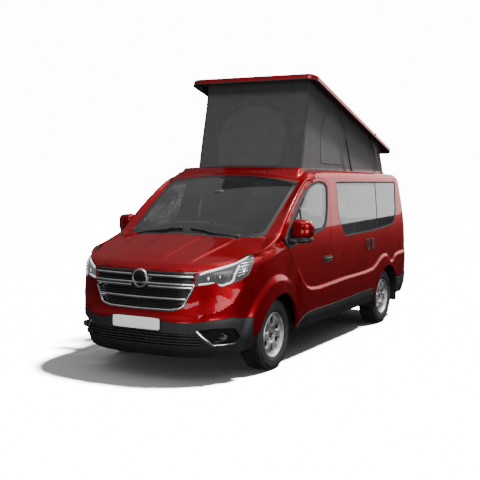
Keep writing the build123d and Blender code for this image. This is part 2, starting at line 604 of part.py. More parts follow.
rear_axle += both(block(across(500), across(560), REAR_AXLE_Y - 520, REAR_AXLE_Y, AXLE_Z - 85, AXLE_Z - 20))
rear_axle += both(block(across(490), across(570), REAR_AXLE_Y - 545, REAR_AXLE_Y - 500, AXLE_Z - 85, up(400)))
underbody = block(across(-500), across(-120), along(200), along(950), up(230), up(400))
underbody += round_bar((across(250), along(-1250), up(365)), (across(250), along(1920), up(365)), 25)
muffler = block(across(130), across(380), along(1900), along(2330), up(270), up(400))
underbody += fillet(muffler.edges().filter_by(Axis.Y), 50)
underbody += both(block(across(400), across(450), along(-2300), along(2350), up(335), up(400))) - rack


def tyre(x, y):
    """Tyre centred on x."""
    half = TYRE_WIDTH / 2
    lip = RIM_RADIUS + RIM_LIP
    profile = [(-half + 12, RIM_RADIUS + 2), (-half, RIM_RADIUS + 40), (-half, TYRE_RADIUS - 45),
               (-half + 22, TYRE_RADIUS - 6), (-half + 50, TYRE_RADIUS), (half - 50, TYRE_RADIUS),
               (half - 22, TYRE_RADIUS - 6), (half, TYRE_RADIUS - 45), (half, RIM_RADIUS + 40),
               (half - 12, RIM_RADIUS + 2)]
    face = make_face(Polyline(*[(x + a, y, AXLE_Z + r) for a, r in profile], close=True))
    return revolve(face, Axis((x, y, AXLE_Z), (1, 0, 0)), 360)


def rim(x, y, outward):
    """Cast wheel with open spokes, its face towards outward (+1 left, -1 right)."""
    half = TYRE_WIDTH / 2
    r = RIM_RADIUS
    section = [(-half + 12, r + 2), (half - 12, r + 2), (half - 12, r - RIM_WALL), (half - 40, r - RIM_WALL - 6),
               (-half + 40, r - RIM_WALL - 6), (-half + 12, r - RIM_WALL)]
    barrel = revolve(make_face(Polyline(*[(a, 0, b) for a, b in section], close=True)), Axis.X, 360)
    disc = drum(RIM_OFFSET, half - 30, 0, 0, r - RIM_WALL - 3)
    window_radius = (r - RIM_WALL - HUB_RADIUS) / 2 - 8
    window_centre = (r - RIM_WALL + HUB_RADIUS) / 2
    for k in range(SPOKES):
        a = 2 * math.pi * (k + 0.5) / SPOKES
        disc -= drum(0, half, window_centre * math.sin(a), window_centre * math.cos(a),
                     min(window_radius, window_centre * math.sin(math.pi / SPOKES) - SPOKE_WIDTH / 6))
    disc -= drum(0, half, 0, 0, SPINDLE_RADIUS + SPINDLE_CLEARANCE)
    for k in range(STUDS):
        a = 2 * math.pi * k / STUDS
        disc -= drum(0, half, STUD_CIRCLE / 2 * math.sin(a), STUD_CIRCLE / 2 * math.cos(a), STUD_HOLE)
    wheel = barrel + disc
    wheel += drum(half - 34, half - 28, 0, 0, 44)
    if outward < 0:
        wheel = mirror(wheel, about=Plane.YZ)
    return Pos(x, y, AXLE_Z) * wheel


# ---- pop-up roof, in its closed place, then raised about the pole
pole = Axis((0, POP_POLE_Y, POP_POLE_Z), (1, 0, 0))
front, rear = POP_FRONT_Y, POP_FRONT_Y + POP_LENGTH
half_pop = POP_WIDTH / 2
shell_side = [(front, POP_TOP_Z - POP_FRONT_DEPTH), (front, POP_TOP_Z), (rear, POP_TOP_Z),
              (rear, POP_TOP_Z - POP_REAR_DEPTH)]
shell = prism_x(shell_side, -half_pop, half_pop)
shell = fillet(shell.edges().filter_by(Axis.Z), POP_CORNER)
shell = fillet(shell.faces().sort_by(Axis.Z)[-1].edges(), 12)
pocket = block(-half_pop + POP_WALL, half_pop - POP_WALL, front + POP_WALL, rear - POP_WALL, up(1800),
               POP_TOP_Z - POP_WALL)
pocket = fillet(pocket.edges().filter_by(Axis.Z), POP_CORNER - POP_WALL)
pop_roof = shell - pocket


def raised(shape):
    """Carry a piece of the closed roof to where it stands open."""
    return shape.rotate(pole, -POP_ANGLE)


def raised_point(y, z, angle=POP_ANGLE):
    """Where a (y, z) point of the closed roof stands open."""
    a = math.radians(-angle)
    dy, dz = y - POP_POLE_Y, z - POP_POLE_Z
    return (POP_POLE_Y + dy * math.cos(a) - dz * math.sin(a), POP_POLE_Z + dy * math.sin(a) + dz * math.cos(a))


pop_roof = raised(pop_roof)
ear_x = STRUT_X + 12
ear = block(ear_x, half_pop - POP_WALL + 3, STRUT_HEAD_Y - 14, STRUT_HEAD_Y + 14, STRUT_HEAD_Z - 12, STRUT_HEAD_Z + 40)
stay_ear = block(ear_x, half_pop - POP_WALL + 3, STAY_HEAD_Y - 14, STAY_HEAD_Y + 14, STAY_HEAD_Z - 12, STAY_HEAD_Z + 40)
stay_pin = drum(STRUT_X - 6, ear_x, STAY_HEAD_Y, STAY_HEAD_Z, PIN_RADIUS)
pop_roof = pop_roof + both((ear & raised(shell)) + (stay_ear & raised(shell)) + stay_pin)

inner_top = POP_TOP_Z - POP_WALL - 0.4
tent_foot_front = (frame_front + 4, FRAME_TOP_Z + 1)
tent_foot_rear = (frame_rear - 4, FRAME_TOP_Z + 1)
tent_top_front = raised_point(TENT_TOP_FRONT_Y, inner_top)
tent_top_rear = raised_point(TENT_TOP_REAR_Y, inner_top)
tent_side = [tent_foot_front, tent_top_front, tent_top_rear, tent_foot_rear]
tent_half = FRAME_HALF_WIDTH - 4
canvas = prism_x(tent_side, -tent_half, tent_half)
tall = prism_x([(tent_foot_front[0] + CANVAS_WALL + 2, tent_foot_front[1] - 60),
                (tent_top_front[0] + CANVAS_WALL + 2, tent_top_front[1] + 60),
                (tent_top_rear[0] - CANVAS_WALL - 2, tent_top_rear[1] + 60),
                (tent_foot_rear[0] - CANVAS_WALL - 2, tent_foot_rear[1] - 60)],
               -tent_half + CANVAS_WALL, tent_half - CANVAS_WALL)
canvas = canvas - tall

# ---- gas struts and folding stays
strut_run = Vector(0, STRUT_HEAD_Y - STRUT_FOOT_Y, STRUT_HEAD_Z - STRUT_FOOT_Z)
strut_way = strut_run.normalized()
foot = Vector(STRUT_X, STRUT_FOOT_Y, STRUT_FOOT_Z)
head = Vector(STRUT_X, STRUT_HEAD_Y, STRUT_HEAD_Z)
tube_start = foot + strut_way * 6
tube_end = foot + strut_way * STRUT_TUBE_LENGTH
bore_start = foot + strut_way * 22
tube = round_bar(tube_start, tube_end, STRUT_TUBE)
tube -= round_bar(bore_start, (tube_end + strut_way * 2), STRUT_ROD + 0.1)
tube += drum(STRUT_X - 6, STRUT_X + 6, STRUT_FOOT_Y, STRUT_FOOT_Z, 9)
tube -= drum(STRUT_X - 8, STRUT_X + 8, STRUT_FOOT_Y, STRUT_FOOT_Z, PIN_RADIUS + PIN_CLEARANCE)
strut_cylinders = both(tube)
rod_start = tube_end - strut_way * STRUT_ROD_OVERLAP
rod = round_bar(rod_start, head, STRUT_ROD)
rod += drum(STRUT_X - 6, STRUT_X + 6, STRUT_HEAD_Y, STRUT_HEAD_Z, 9)
strut_rods = both(rod)


def flat_link(x, a, b):
    """Flat bar with rounded ends between two (y, z) points."""
    dy, dz = b[0] - a[0], b[1] - a[1]
    run = math.hypot(dy, dz)
    oy, oz = -dz / run * STAY_WIDTH / 2, dy / run * STAY_WIDTH / 2
    corners = [(a[0] + oy, a[1] + oz), (b[0] + oy, b[1] + oz), (b[0] - oy, b[1] - oz), (a[0] - oy, a[1] - oz)]
    bar = prism_x(corners, x - STAY_THICKNESS / 2, x + STAY_THICKNESS / 2)
    for y, z in (a, b):
        bar += drum(x - STAY_THICKNESS / 2, x + STAY_THICKNESS / 2, y, z, STAY_WIDTH / 2)
    return bar


stay_hole = PIN_RADIUS + PIN_CLEARANCE
lower_stay = flat_link(STRUT_X - 13, (STAY_FOOT_Y, STAY_FOOT_Z), (STAY_ELBOW_Y, STAY_ELBOW_Z))
upper_stay = flat_link(STRUT_X, (STAY_HEAD_Y, STAY_HEAD_Z), (STAY_ELBOW_Y, STAY_ELBOW_Z))
lower_stays = both(lower_stay - drum(STRUT_X - 20, STRUT_X, STAY_FOOT_Y, STAY_FOOT_Z, stay_hole))
upper_stays = both(upper_stay - drum(STRUT_X - 10, STRUT_X + 10, STAY_HEAD_Y, STAY_HEAD_Z, stay_hole))
for y, z, pin_end in [(STRUT_FOOT_Y, STRUT_FOOT_Z, STRUT_X - 6), (STAY_FOOT_Y, STAY_FOOT_Z, STRUT_X - 18)]:
    foot_ear = block(ear_x, ear_x + 6, y - 12, y + 12, z - 62, z + 8)
    roof_fittings += both((foot_ear + drum(pin_end, ear_x, y, z, PIN_RADIUS)) - roof_panel)

# ---- small outside pieces
def on_screen(x, y, lift):
    """Point above the windscreen surface."""
    return (across(x), along(y), screen_height(across(x), along(y)) + lift)


wiper = round_bar(on_screen(575, -1655, 30), on_screen(40, -1672, 24), 5)
wiper += round_bar(on_screen(575, -1655, 0.3), on_screen(575, -1655, 36), 9)
wipers = both(wiper - windscreen - cowl - wing)
aerial = round_bar((across(-845), along(-1600), up(1225)), (across(-845), along(-1617), up(1572)), 3)
aerial += round_bar((across(-845), along(-1600), up(1225)), (across(-845), along(-1602), up(1266)), 10)
aerial = aerial - both(wing)

NODES = {
    "floor_pan": floor_pan,
    "side_left": side_left,
    "side_right": side_right,
    "roof_panel": roof_panel,
    "roof_fittings": roof_fittings,
    "wings": both(wing) + cowl,
    "front_bumper": front_bumper,
    "grille": grille,
    "headlamps": headlamps,
    "rear_bumper": rear_bumper,
    "tail_lamps": tail_lamps,
    "windscreen": windscreen,
    "side_glass": side_glass,
    "sliding_door": sliding_door,
    "sill_trims": sill_trims,
    "dashboard": dashboard,
    "front_seats": front_seats,
    "rear_bench": rear_bench,
    "cabinet": cabinet,
    "engine_block": engine_block,
    "front_subframe": front_subframe,
    "rear_axle": rear_axle,
    "underbody": underbody,
    "wipers": wipers,
    "aerial": aerial,
    "canvas": canvas,
    "door_left": door_left,
    "door_right": door_right,
    "door_glass_left": door_glass_left,
    "door_glass_right": door_glass_right,
    "mirror_left": mirror_left,
    "mirror_right": mirror_right,
    "bonnet": bonnet,
    "tailgate": tailgate,
    "tailgate_glass": tailgate_glass,
    "pop_roof": pop_roof,
    "strut_cylinders": strut_cylinders,
    "strut_rods": strut_rods,
    "lower_stays": lower_stays,
    "upper_stays": upper_stays,
    "steering_wheel": steering_wheel,
    "knuckle_left": knuckle_left,
    "knuckle_right": knuckle_right,
}
for name, x, y in [
    ("front_left", FACE_FRONT, FRONT_AXLE_Y),
    ("front_right", -FACE_FRONT, FRONT_AXLE_Y),
    ("rear_left", FACE_REAR, REAR_AXLE_Y),
    ("rear_right", -FACE_REAR, REAR_AXLE_Y),
]:
    NODES["tyre_" + name] = tyre(x, y)
    NODES["rim_" + name] = rim(x, y, 1 if x > 0 else -1)

os.makedirs("parts", exist_ok=True)
for name, shape in NODES.items():
    export_step(shape, f"parts/{name}.step")
    box = shape.bounding_box()
    print(f"{name:18s} solids {len(shape.solids()):2d} valid {shape.is_valid} "
          f"x {box.min.X:8.1f} {box.max.X:8.1f} y {box.min.Y:8.1f} {box.max.Y:8.1f} z {box.min.Z:8.1f} {box.max.Z:8.1f}")
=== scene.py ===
"""Dresses a camper van with a raised pop-up roof: body skins, lamps, glass, wheels, tent and cabin."""
import logging
import math
from collections.abc import Callable, Sequence
from dataclasses import dataclass, field
from enum import Enum

import bmesh
import bpy
import numpy as np
from mathutils import Matrix, Vector
from mathutils.geometry import delaunay_2d_cdt


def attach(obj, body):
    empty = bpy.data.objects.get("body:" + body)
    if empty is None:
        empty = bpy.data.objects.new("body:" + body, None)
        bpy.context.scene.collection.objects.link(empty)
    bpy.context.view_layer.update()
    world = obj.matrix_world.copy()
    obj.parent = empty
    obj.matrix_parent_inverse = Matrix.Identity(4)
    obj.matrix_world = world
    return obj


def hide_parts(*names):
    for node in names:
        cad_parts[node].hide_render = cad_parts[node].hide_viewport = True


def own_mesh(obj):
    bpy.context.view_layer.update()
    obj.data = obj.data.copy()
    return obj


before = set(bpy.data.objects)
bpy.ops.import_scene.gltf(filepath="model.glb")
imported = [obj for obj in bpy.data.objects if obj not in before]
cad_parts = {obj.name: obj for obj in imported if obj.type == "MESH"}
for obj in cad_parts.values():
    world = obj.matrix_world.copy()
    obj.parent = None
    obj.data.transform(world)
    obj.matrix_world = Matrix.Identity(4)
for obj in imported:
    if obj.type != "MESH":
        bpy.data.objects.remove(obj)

log = logging.getLogger("camper_van")

MM = 0.001
Rows = Sequence[tuple[float, float]]
FRONT_AXLE = (-1526.0, 345.0)
REAR_AXLE = (1572.0, 345.0)
FRONT_ARCH = 412.0
REAR_ARCH = 402.0
POLE = (3160.0, 1931.0)
LIFT = math.radians(15.6)


class Side(Enum):
    """The two sides of the van."""

    LEFT = 1
    RIGHT = -1


class Facing(Enum):
    """Directions from which a skin is laid out flat before it is put on the body."""

    LEFT = "left"
    RIGHT = "right"
    TOP = "top"
    NOSE = "nose"
    FRONT = "front"
    TAIL = "tail"


# ---------------------------------------------------------------- shape of the body


class FairLine:
    """Smooth monotone line through rows of (place, value), straight beyond its ends."""

    def __init__(self, rows: Rows) -> None:
        """Keep the rows and work out the slopes.

        Args:
            rows: (place, value) pairs in rising order of place.
        """
        self.at = np.array([r[0] for r in rows], float)
        self.value = np.array([r[1] for r in rows], float)
        self.chord = np.diff(self.value) / np.diff(self.at)
        a, b = self.chord[:-1], self.chord[1:]
        inner = np.where(a * b > 0, 2 * a * b / np.where(a * b > 0, a + b, 1.0), 0.0)
        self.slope = np.concatenate([self.chord[:1], inner, self.chord[-1:]])

    def __call__(self, t: np.ndarray) -> np.ndarray:
        """Values of the line.

        Args:
            t: places along the line.

        Returns:
            The value at each place.
        """
        t = np.asarray(t, float)
        i = np.clip(np.searchsorted(self.at, t, side="right") - 1, 0, len(self.at) - 2)
        h = self.at[i + 1] - self.at[i]
        s = (t - self.at[i]) / h
        inside = ((1 + 2 * s) * (1 - s) ** 2 * self.value[i] + s * (1 - s) ** 2 * h * self.slope[i]
                  + s * s * (3 - 2 * s) * self.value[i + 1] + s * s * (s - 1) * h * self.slope[i + 1])
        low = self.value[0] + (t - self.at[0]) * self.chord[0]
        high = self.value[-1] + (t - self.at[-1]) * self.chord[-1]
        return np.where(t < self.at[0], low, np.where(t > self.at[-1], high, inside))


def ease(t: np.ndarray) -> np.ndarray:
    """Smooth step from 0 to 1 as t goes from 0 to 1."""
    t = np.clip(t, 0.0, 1.0)
    return t * t * (3 - 2 * t)


def line_gap(u: np.ndarray, v: np.ndarray, path: Rows) -> tuple[np.ndarray, np.ndarray]:
    """Nearest signed gap from places to a broken line, positive on its left.

    Args:
        u: first coordinate of the places.
        v: second coordinate of the places.
        path: corners of the broken line.

    Returns:
        The signed gap, and how far along the line the nearest place is, from 0 to 1.
    """
    best = np.full(u.shape, 1e9)
    signed = np.zeros(u.shape)
    along = np.zeros(u.shape)
    runs = [math.dist(a, b) for a, b in zip(path, path[1:])]
    total, done = sum(runs), 0.0
    for (au, av), (bu, bv), run in zip(path, path[1:], runs):
        du, dv = (bu - au) / run, (bv - av) / run
        t = np.clip((u - au) * du + (v - av) * dv, 0, run)
        off_u, off_v = u - au - t * du, v - av - t * dv
        gap = np.hypot(off_u, off_v)
        near = gap < best
        best = np.where(near, gap, best)
        signed = np.where(near, np.where(du * off_v - dv * off_u >= 0, gap, -gap), signed)
        along = np.where(near, (done + t) / total, along)
        done += run
    return signed, along


@dataclass
class BodyForm:
    """Outside of the body as two signed distances in millimetres: upright skins and upper skins."""

    edge: float = 85.0
    shoulder: float = 1900.0
    section: FairLine = field(default_factory=lambda: FairLine([
        (200, 900), (340, 925), (450, 958), (600, 973), (850, 978), (1100, 974), (1250, 966),
        (1500, 935), (1700, 905), (1850, 880), (2000, 855)]))
    nose: FairLine = field(default_factory=lambda: FairLine([
        (200, -2440), (330, -2520), (450, -2540), (560, -2536), (640, -2505), (750, -2485),
        (900, -2479), (1000, -2476), (1100, -2460), (1400, -2400)]))
    tail: FairLine = field(default_factory=lambda: FairLine([
        (200, 2480), (380, 2538), (470, 2540), (560, 2538), (640, 2490), (1000, 2478), (1250, 2460),
        (1600, 2425), (1880, 2380), (2000, 2360)]))
    bonnet: FairLine = field(default_factory=lambda: FairLine([
        (-2700, 930), (-2476, 1050), (-2300, 1118), (-2100, 1180), (-1900, 1236), (-1700, 1290),
        (-1400, 1362), (-1100, 1400), (-1000, 1400)]))
    screen: FairLine = field(default_factory=lambda: FairLine([
        (-1900, 1160), (-1700, 1290), (-1230, 1600), (-760, 1866), (-500, 1990), (0, 2200)]))
    roof: FairLine = field(default_factory=lambda: FairLine([
        (-1200, 1700), (-800, 1868), (-700, 1900), (-500, 1935), (0, 1950), (800, 1942),
        (1600, 1926), (2300, 1902), (2600, 1885)]))
    waist: FairLine = field(default_factory=lambda: FairLine([
        (-1160, 960), (-1090, 880), (-1023, 812), (-940, 756), (-820, 722), (-615, 712), (-257, 722), (126, 733),
        (539, 736), (960, 750), (1121, 790), (1258, 852), (1402, 886), (1502, 884), (1580, 850),
        (1670, 790), (1741, 792), (1830, 850), (1920, 872), (2100, 880), (2300, 884)]))

    def plan(self, p: np.ndarray) -> np.ndarray:
        """Signed distance to the sides, nose and tail at each point's own height."""
        x, y, z = p.T
        width = self.section(z)
        ratio = np.abs(x) / width
        front, rear = y < FRONT_AXLE[0], y > self.shoulder
        reach = np.where(front, FRONT_AXLE[0] - self.nose(z), np.where(rear, self.tail(z) - self.shoulder, 1.0))
        power = np.where(front, 2.9, np.where(rear, 8.0, 2.0))
        t = np.where(front, (FRONT_AXLE[0] - y) / reach, np.where(rear, (y - self.shoulder) / reach, 0.0))
        t = np.maximum(t, 0.0)
        slope_x = 3 / width * ratio ** 2
        slope_y = np.where(t > 0, power / reach * np.maximum(t, 1e-9) ** (power - 1), 0.0)
        return (ratio ** 3 + t ** power - 1) / np.maximum(np.hypot(slope_x, slope_y), 1 / width)

    def top(self, p: np.ndarray) -> np.ndarray:
        """Signed distance to the bonnet, windscreen and roof."""
        x, y, z = p.T
        a = np.abs(x) / 800.0
        bonnet = self.bonnet(y) - 60 * a ** 2.2
        bow = (x / 760.0) ** 2
        screen = self.screen(y - bow * (180 - 0.075 * (y + 1520)))
        roof = self.roof(y) - 15 * a * a
        h = np.maximum(30.0 - np.abs(screen - roof), 0) / 30.0
        cabin = np.minimum(screen, roof) - h * h * 7.5
        steep = np.where((cabin > bonnet) & (screen < roof), 0.84, 0.98)
        return (z - np.maximum(bonnet, cabin)) * steep

    def drop(self, distance: np.ndarray) -> np.ndarray:
        """How far a skin falls away as it nears the rounded edge it shares with the next one."""
        near = np.minimum(distance, -0.2 * self.edge) + self.edge
        return np.where(near > 0, self.edge - np.sqrt(np.maximum(self.edge ** 2 - near ** 2, 0)), 0.0)

    def flare(self, p: np.ndarray) -> np.ndarray:
        """How far the upright skins stand out: wheel arches, waist step and nose corners.

        Args:
            p: points on the skins.

        Returns:
            The distance at each point.
        """
        x, y, z = p.T
        outside = ease((np.abs(x) - 700) / 150)
        r = np.hypot(y - FRONT_AXLE[0], z - FRONT_AXLE[1])
        turn = np.degrees(np.arctan2(z - FRONT_AXLE[1], FRONT_AXLE[0] - y))
        reach = 600 - 60 * ease((turn - 60) / 60)
        front = 24 * ease((reach + 30 - r) / 75) * ease((128 - turn) / 40) * ease((turn + 25) / 30)
        r = np.hypot(y - REAR_AXLE[0], z - REAR_AXLE[1])
        rear = 10 * ease((470 - r) / 50)
        level = self.waist(y) - z
        side = ease((y + 1190) / 110) * np.where(y > 2150, ease((2420 - y) / 200), 1.0)
        step = 15 * ease((level + 26) / 52) * side * (1 - 0.6 * ease((level - 90) / 330))
        lower = 5 * ease((560 - z) / 60) * ease((y + 1000) / 100) * ease((1150 - y) / 100)
        corner, _ = line_gap(np.abs(x), z, [(900, 980), (893, 860), (846, 742), (760, 676), (640, 640)])
        ridge = 16 * np.clip(1 - np.abs(corner) / 150, 0, 1) ** 1.6 * ease((-1900 - y) / 120)
        return outside * (front + np.maximum(rear, step) + lower) + ridge * ease((z - 560) / 80)

    def crown(self, p: np.ndarray) -> np.ndarray:
        """How far the upper skins stand out: bonnet folds and the fairing ahead of the raised roof."""
        x, y, _ = p.T
        spread = np.clip((y + 2320) / 500, 0, 1)
        inner, outer = 165 + 62 * spread, 465 + 90 * spread
        fade = ease((y + 2440) / 220) * ease((-1500 - y) / 60)
        folds = (7 * ease((inner + 14 - np.abs(x)) / 28) + 8 * ease((outer + 16 - np.abs(x)) / 32)) * fade
        lip = 43 * ease((y + 700) / 120) * ease((-500 - y) / 34) * ease((762 - np.abs(x)) / 45)
        brow = 5 * ease((y + 765) / 50) * ease((-610 - y) / 60)
        return folds + lip + brow

    def upright(self, p: np.ndarray) -> np.ndarray:
        """Signed distance to the upright skins."""
        return self.plan(p) - self.flare(p) + self.drop(self.top(p))

    def upper(self, p: np.ndarray) -> np.ndarray:
        """Signed distance to the upper skins."""
        return self.top(p) - self.crown(p) + self.drop(self.plan(p))

    def rays(self, facing: Facing, uv: np.ndarray) -> tuple[np.ndarray, np.ndarray, Callable]:
        """Start and direction of the ray that lays each flat place on the body.

        Args:
            facing: direction that the flat layout is seen from.
            uv: flat places in millimetres; round the nose and tail corners they are distances along the skin.

        Returns:
            Ray starts, ray directions, and the signed distance that the rays meet.
        """
        u, v = uv.T
        zero, one = np.zeros_like(u), np.ones_like(u)
        if facing in (Facing.LEFT, Facing.RIGHT):
            s = 1.0 if facing is Facing.LEFT else -1.0
            turn = np.maximum(u - 2100, 0) / 430
            start = np.stack([s * 480 * one, np.minimum(u, 2100), v], 1)
            return start, np.stack([s * np.cos(turn), np.sin(turn), zero], 1), self.upright
        if facing is Facing.TOP:
            return np.stack([u, v, 600 * one], 1), np.stack([zero, zero, one], 1), self.upper
        if facing is Facing.NOSE:
            turn = u / 1030
            return np.stack([zero, -1500 * one, v], 1), np.stack([np.sin(turn), -np.cos(turn), zero], 1), self.upright
        if facing is Facing.FRONT:
            return np.stack([u, -1600 * one, v], 1), np.stack([zero, -one, zero], 1), self.upright
        return np.stack([u, 1900 * one, v], 1), np.stack([zero, one, zero], 1), self.upright

    def place(self, facing: Facing, uv: np.ndarray, inset: float = 0.0) -> tuple[np.ndarray, np.ndarray]:
        """Points and outward normals of flat places put on the body.

        Args:
            facing: direction that the flat layout is seen from.
            uv: flat places.
            inset: depth below the skin; negative stands proud of it.

        Returns:
            Points in millimetres, and unit normals.
        """
        start, way, skin = self.rays(facing, np.asarray(uv, float))
        low, high = np.zeros(len(start)), np.full(len(start), 1600.0)
        for _ in range(30):
            mid = (low + high) / 2
            out = skin(start + way * mid[:, None]) > -inset
            high, low = np.where(out, mid, high), np.where(out, low, mid)
        points = start + way * low[:, None]
        slopes = []
        for axis in np.eye(3) * 1.5:
            slopes.append(skin(points + axis) - skin(points - axis))
        normals = np.stack(slopes, 1)
        return points, normals / np.linalg.norm(normals, axis=1)[:, None]

    def nose_place(self, xz: Rows) -> list[tuple[float, float]]:
        """Nose layout of places given as (sideways, height) seen from the front."""
        points, _ = self.place(Facing.FRONT, np.array(xz, float))
        turn = np.arctan2(points[:, 0], -1500 - points[:, 1])
        return [(float(t) * 1030, float(z)) for t, z in zip(turn, points[:, 2])]


FORM = BodyForm()

# ---------------------------------------------------------------- mesh making


def rounded(corners: Rows, radius: float, steps: int = 4) -> list[tuple[float, float]]:
    """Closed outline with its corners rounded.

    Args:
        corners: corners of the outline.
        radius: largest length cut from each run at a corner.
        steps: pieces in each rounded corner.

    Returns:
        The corners of the rounded outline.
    """
    result = []
    n = len(corners)
    for i in range(n):
        a, b, c = (np.array(corners[k % n], float) for k in (i - 1, i, i + 1))
        first, last = np.linalg.norm(a - b), np.linalg.norm(c - b)
        start = b + (a - b) / first * min(radius, 0.45 * first)
        end = b + (c - b) / last * min(radius, 0.45 * last)
        for k in range(steps + 1):
            t = k / steps
            result.append(tuple((1 - t) ** 2 * start + 2 * t * (1 - t) * b + t * t * end))
    return result


def divided(loop: Rows, pitch: float, closed: bool = True) -> np.ndarray:
    """Points along a broken line, no further apart than pitch."""
    points = [np.array(p, float) for p in loop]
    result = []
    for a, b in zip(points, points[1:] + points[:1] if closed else points[1:]):
        count = max(1, math.ceil(float(np.linalg.norm(b - a)) / pitch))
        result += [a + (b - a) * k / count for k in range(count)]
    if not closed:
        result.append(points[-1])
    return np.array(result)


def inside(points: np.ndarray, loops: Sequence[np.ndarray]) -> np.ndarray:
    """Which flat points lie inside the first loop and outside the others."""
    odd = np.zeros(len(points), bool)
    x, y = points.T
    for loop in loops:
        for (ax, ay), (bx, by) in zip(loop, np.roll(loop, -1, axis=0)):
            if ay != by:
                cross = ((ay > y) != (by > y)) & (x < (bx - ax) * (y - ay) / (by - ay) + ax)
                odd ^= cross
    return odd


def circle_run(centre: tuple[float, float], radius: float, start: float, end: float, steps: int) -> list:
    """Points of an arc, its angles in degrees from the first axis."""
    return [(centre[0] + radius * math.cos(math.radians(start + (end - start) * k / steps)),
             centre[1] + radius * math.sin(math.radians(start + (end - start) * k / steps)))
            for k in range(steps + 1)]


class Shape:
    """Vertices and faces in millimetres that grow into one mesh."""

    def __init__(self) -> None:
        """Start with nothing."""
        self.points: list[tuple[float, float, float]] = []
        self.faces: list[tuple[int, ...]] = []
        self.leans: list[tuple[tuple[float, float, float], ...] | None] = []

    def add(self, points: Sequence, faces: Sequence, leans: Sequence | None = None) -> None:
        """Add vertices and faces, with shading normals where they are known."""
        base = len(self.points)
        self.points += [tuple(map(float, p)) for p in points]
        self.faces += [tuple(int(i) + base for i in f) for f in faces]
        self.leans += list(leans) if leans is not None else [None] * len(faces)

    def grid(self, rows: Sequence[Sequence], around: bool = False, capped: bool = False) -> None:
        """Add a sheet of quads through rows of points.

        Args:
            rows: rows of points, all of one length.
            around: whether each row closes on itself.
            capped: whether the first and last rows are closed with a face.
        """
        n = len(rows[0])
        faces = []
        for i in range(len(rows) - 1):
            for k in range(n if around else n - 1):
                j = (k + 1) % n
                faces.append((i * n + k, i * n + j, (i + 1) * n + j, (i + 1) * n + k))
        if capped:
            faces.append(tuple(range(n))[::-1])
            faces.append(tuple((len(rows) - 1) * n + k for k in range(n)))
        self.add([p for row in rows for p in row], faces)

    def mesh(self, name: str, sharp: float = 40.0, tidy: bool = False) -> bpy.types.Object:
        """Finished object of the shape, in metres.

        Args:
            name: name of the object.
            sharp: angle in degrees above which an edge is shaded sharp.
            tidy: whether doubles are merged and normals recalculated.

        Returns:
            The new object.
        """
        mesh = bpy.data.meshes.new(name)
        mesh.from_pydata([(x * MM, y * MM, z * MM) for x, y, z in self.points], [], self.faces)
        if tidy:
            work = bmesh.new()
            work.from_mesh(mesh)
            bmesh.ops.remove_doubles(work, verts=work.verts, dist=1e-5)
            bmesh.ops.recalc_face_normals(work, faces=work.faces)
            work.to_mesh(mesh)
            work.free()
        mesh.polygons.foreach_set("use_smooth", [True] * len(mesh.polygons))
        mesh.set_sharp_from_angle(angle=math.radians(sharp))
        if not tidy and any(lean is not None for lean in self.leans):
            loops = []
            for face, lean in zip(self.faces, self.leans):
                loops += list(lean) if lean is not None else [(0.0, 0.0, 0.0)] * len(face)
            mesh.normals_split_custom_set(loops)
        piece = bpy.data.objects.new(name, mesh)
        bpy.context.scene.collection.objects.link(piece)
        return piece


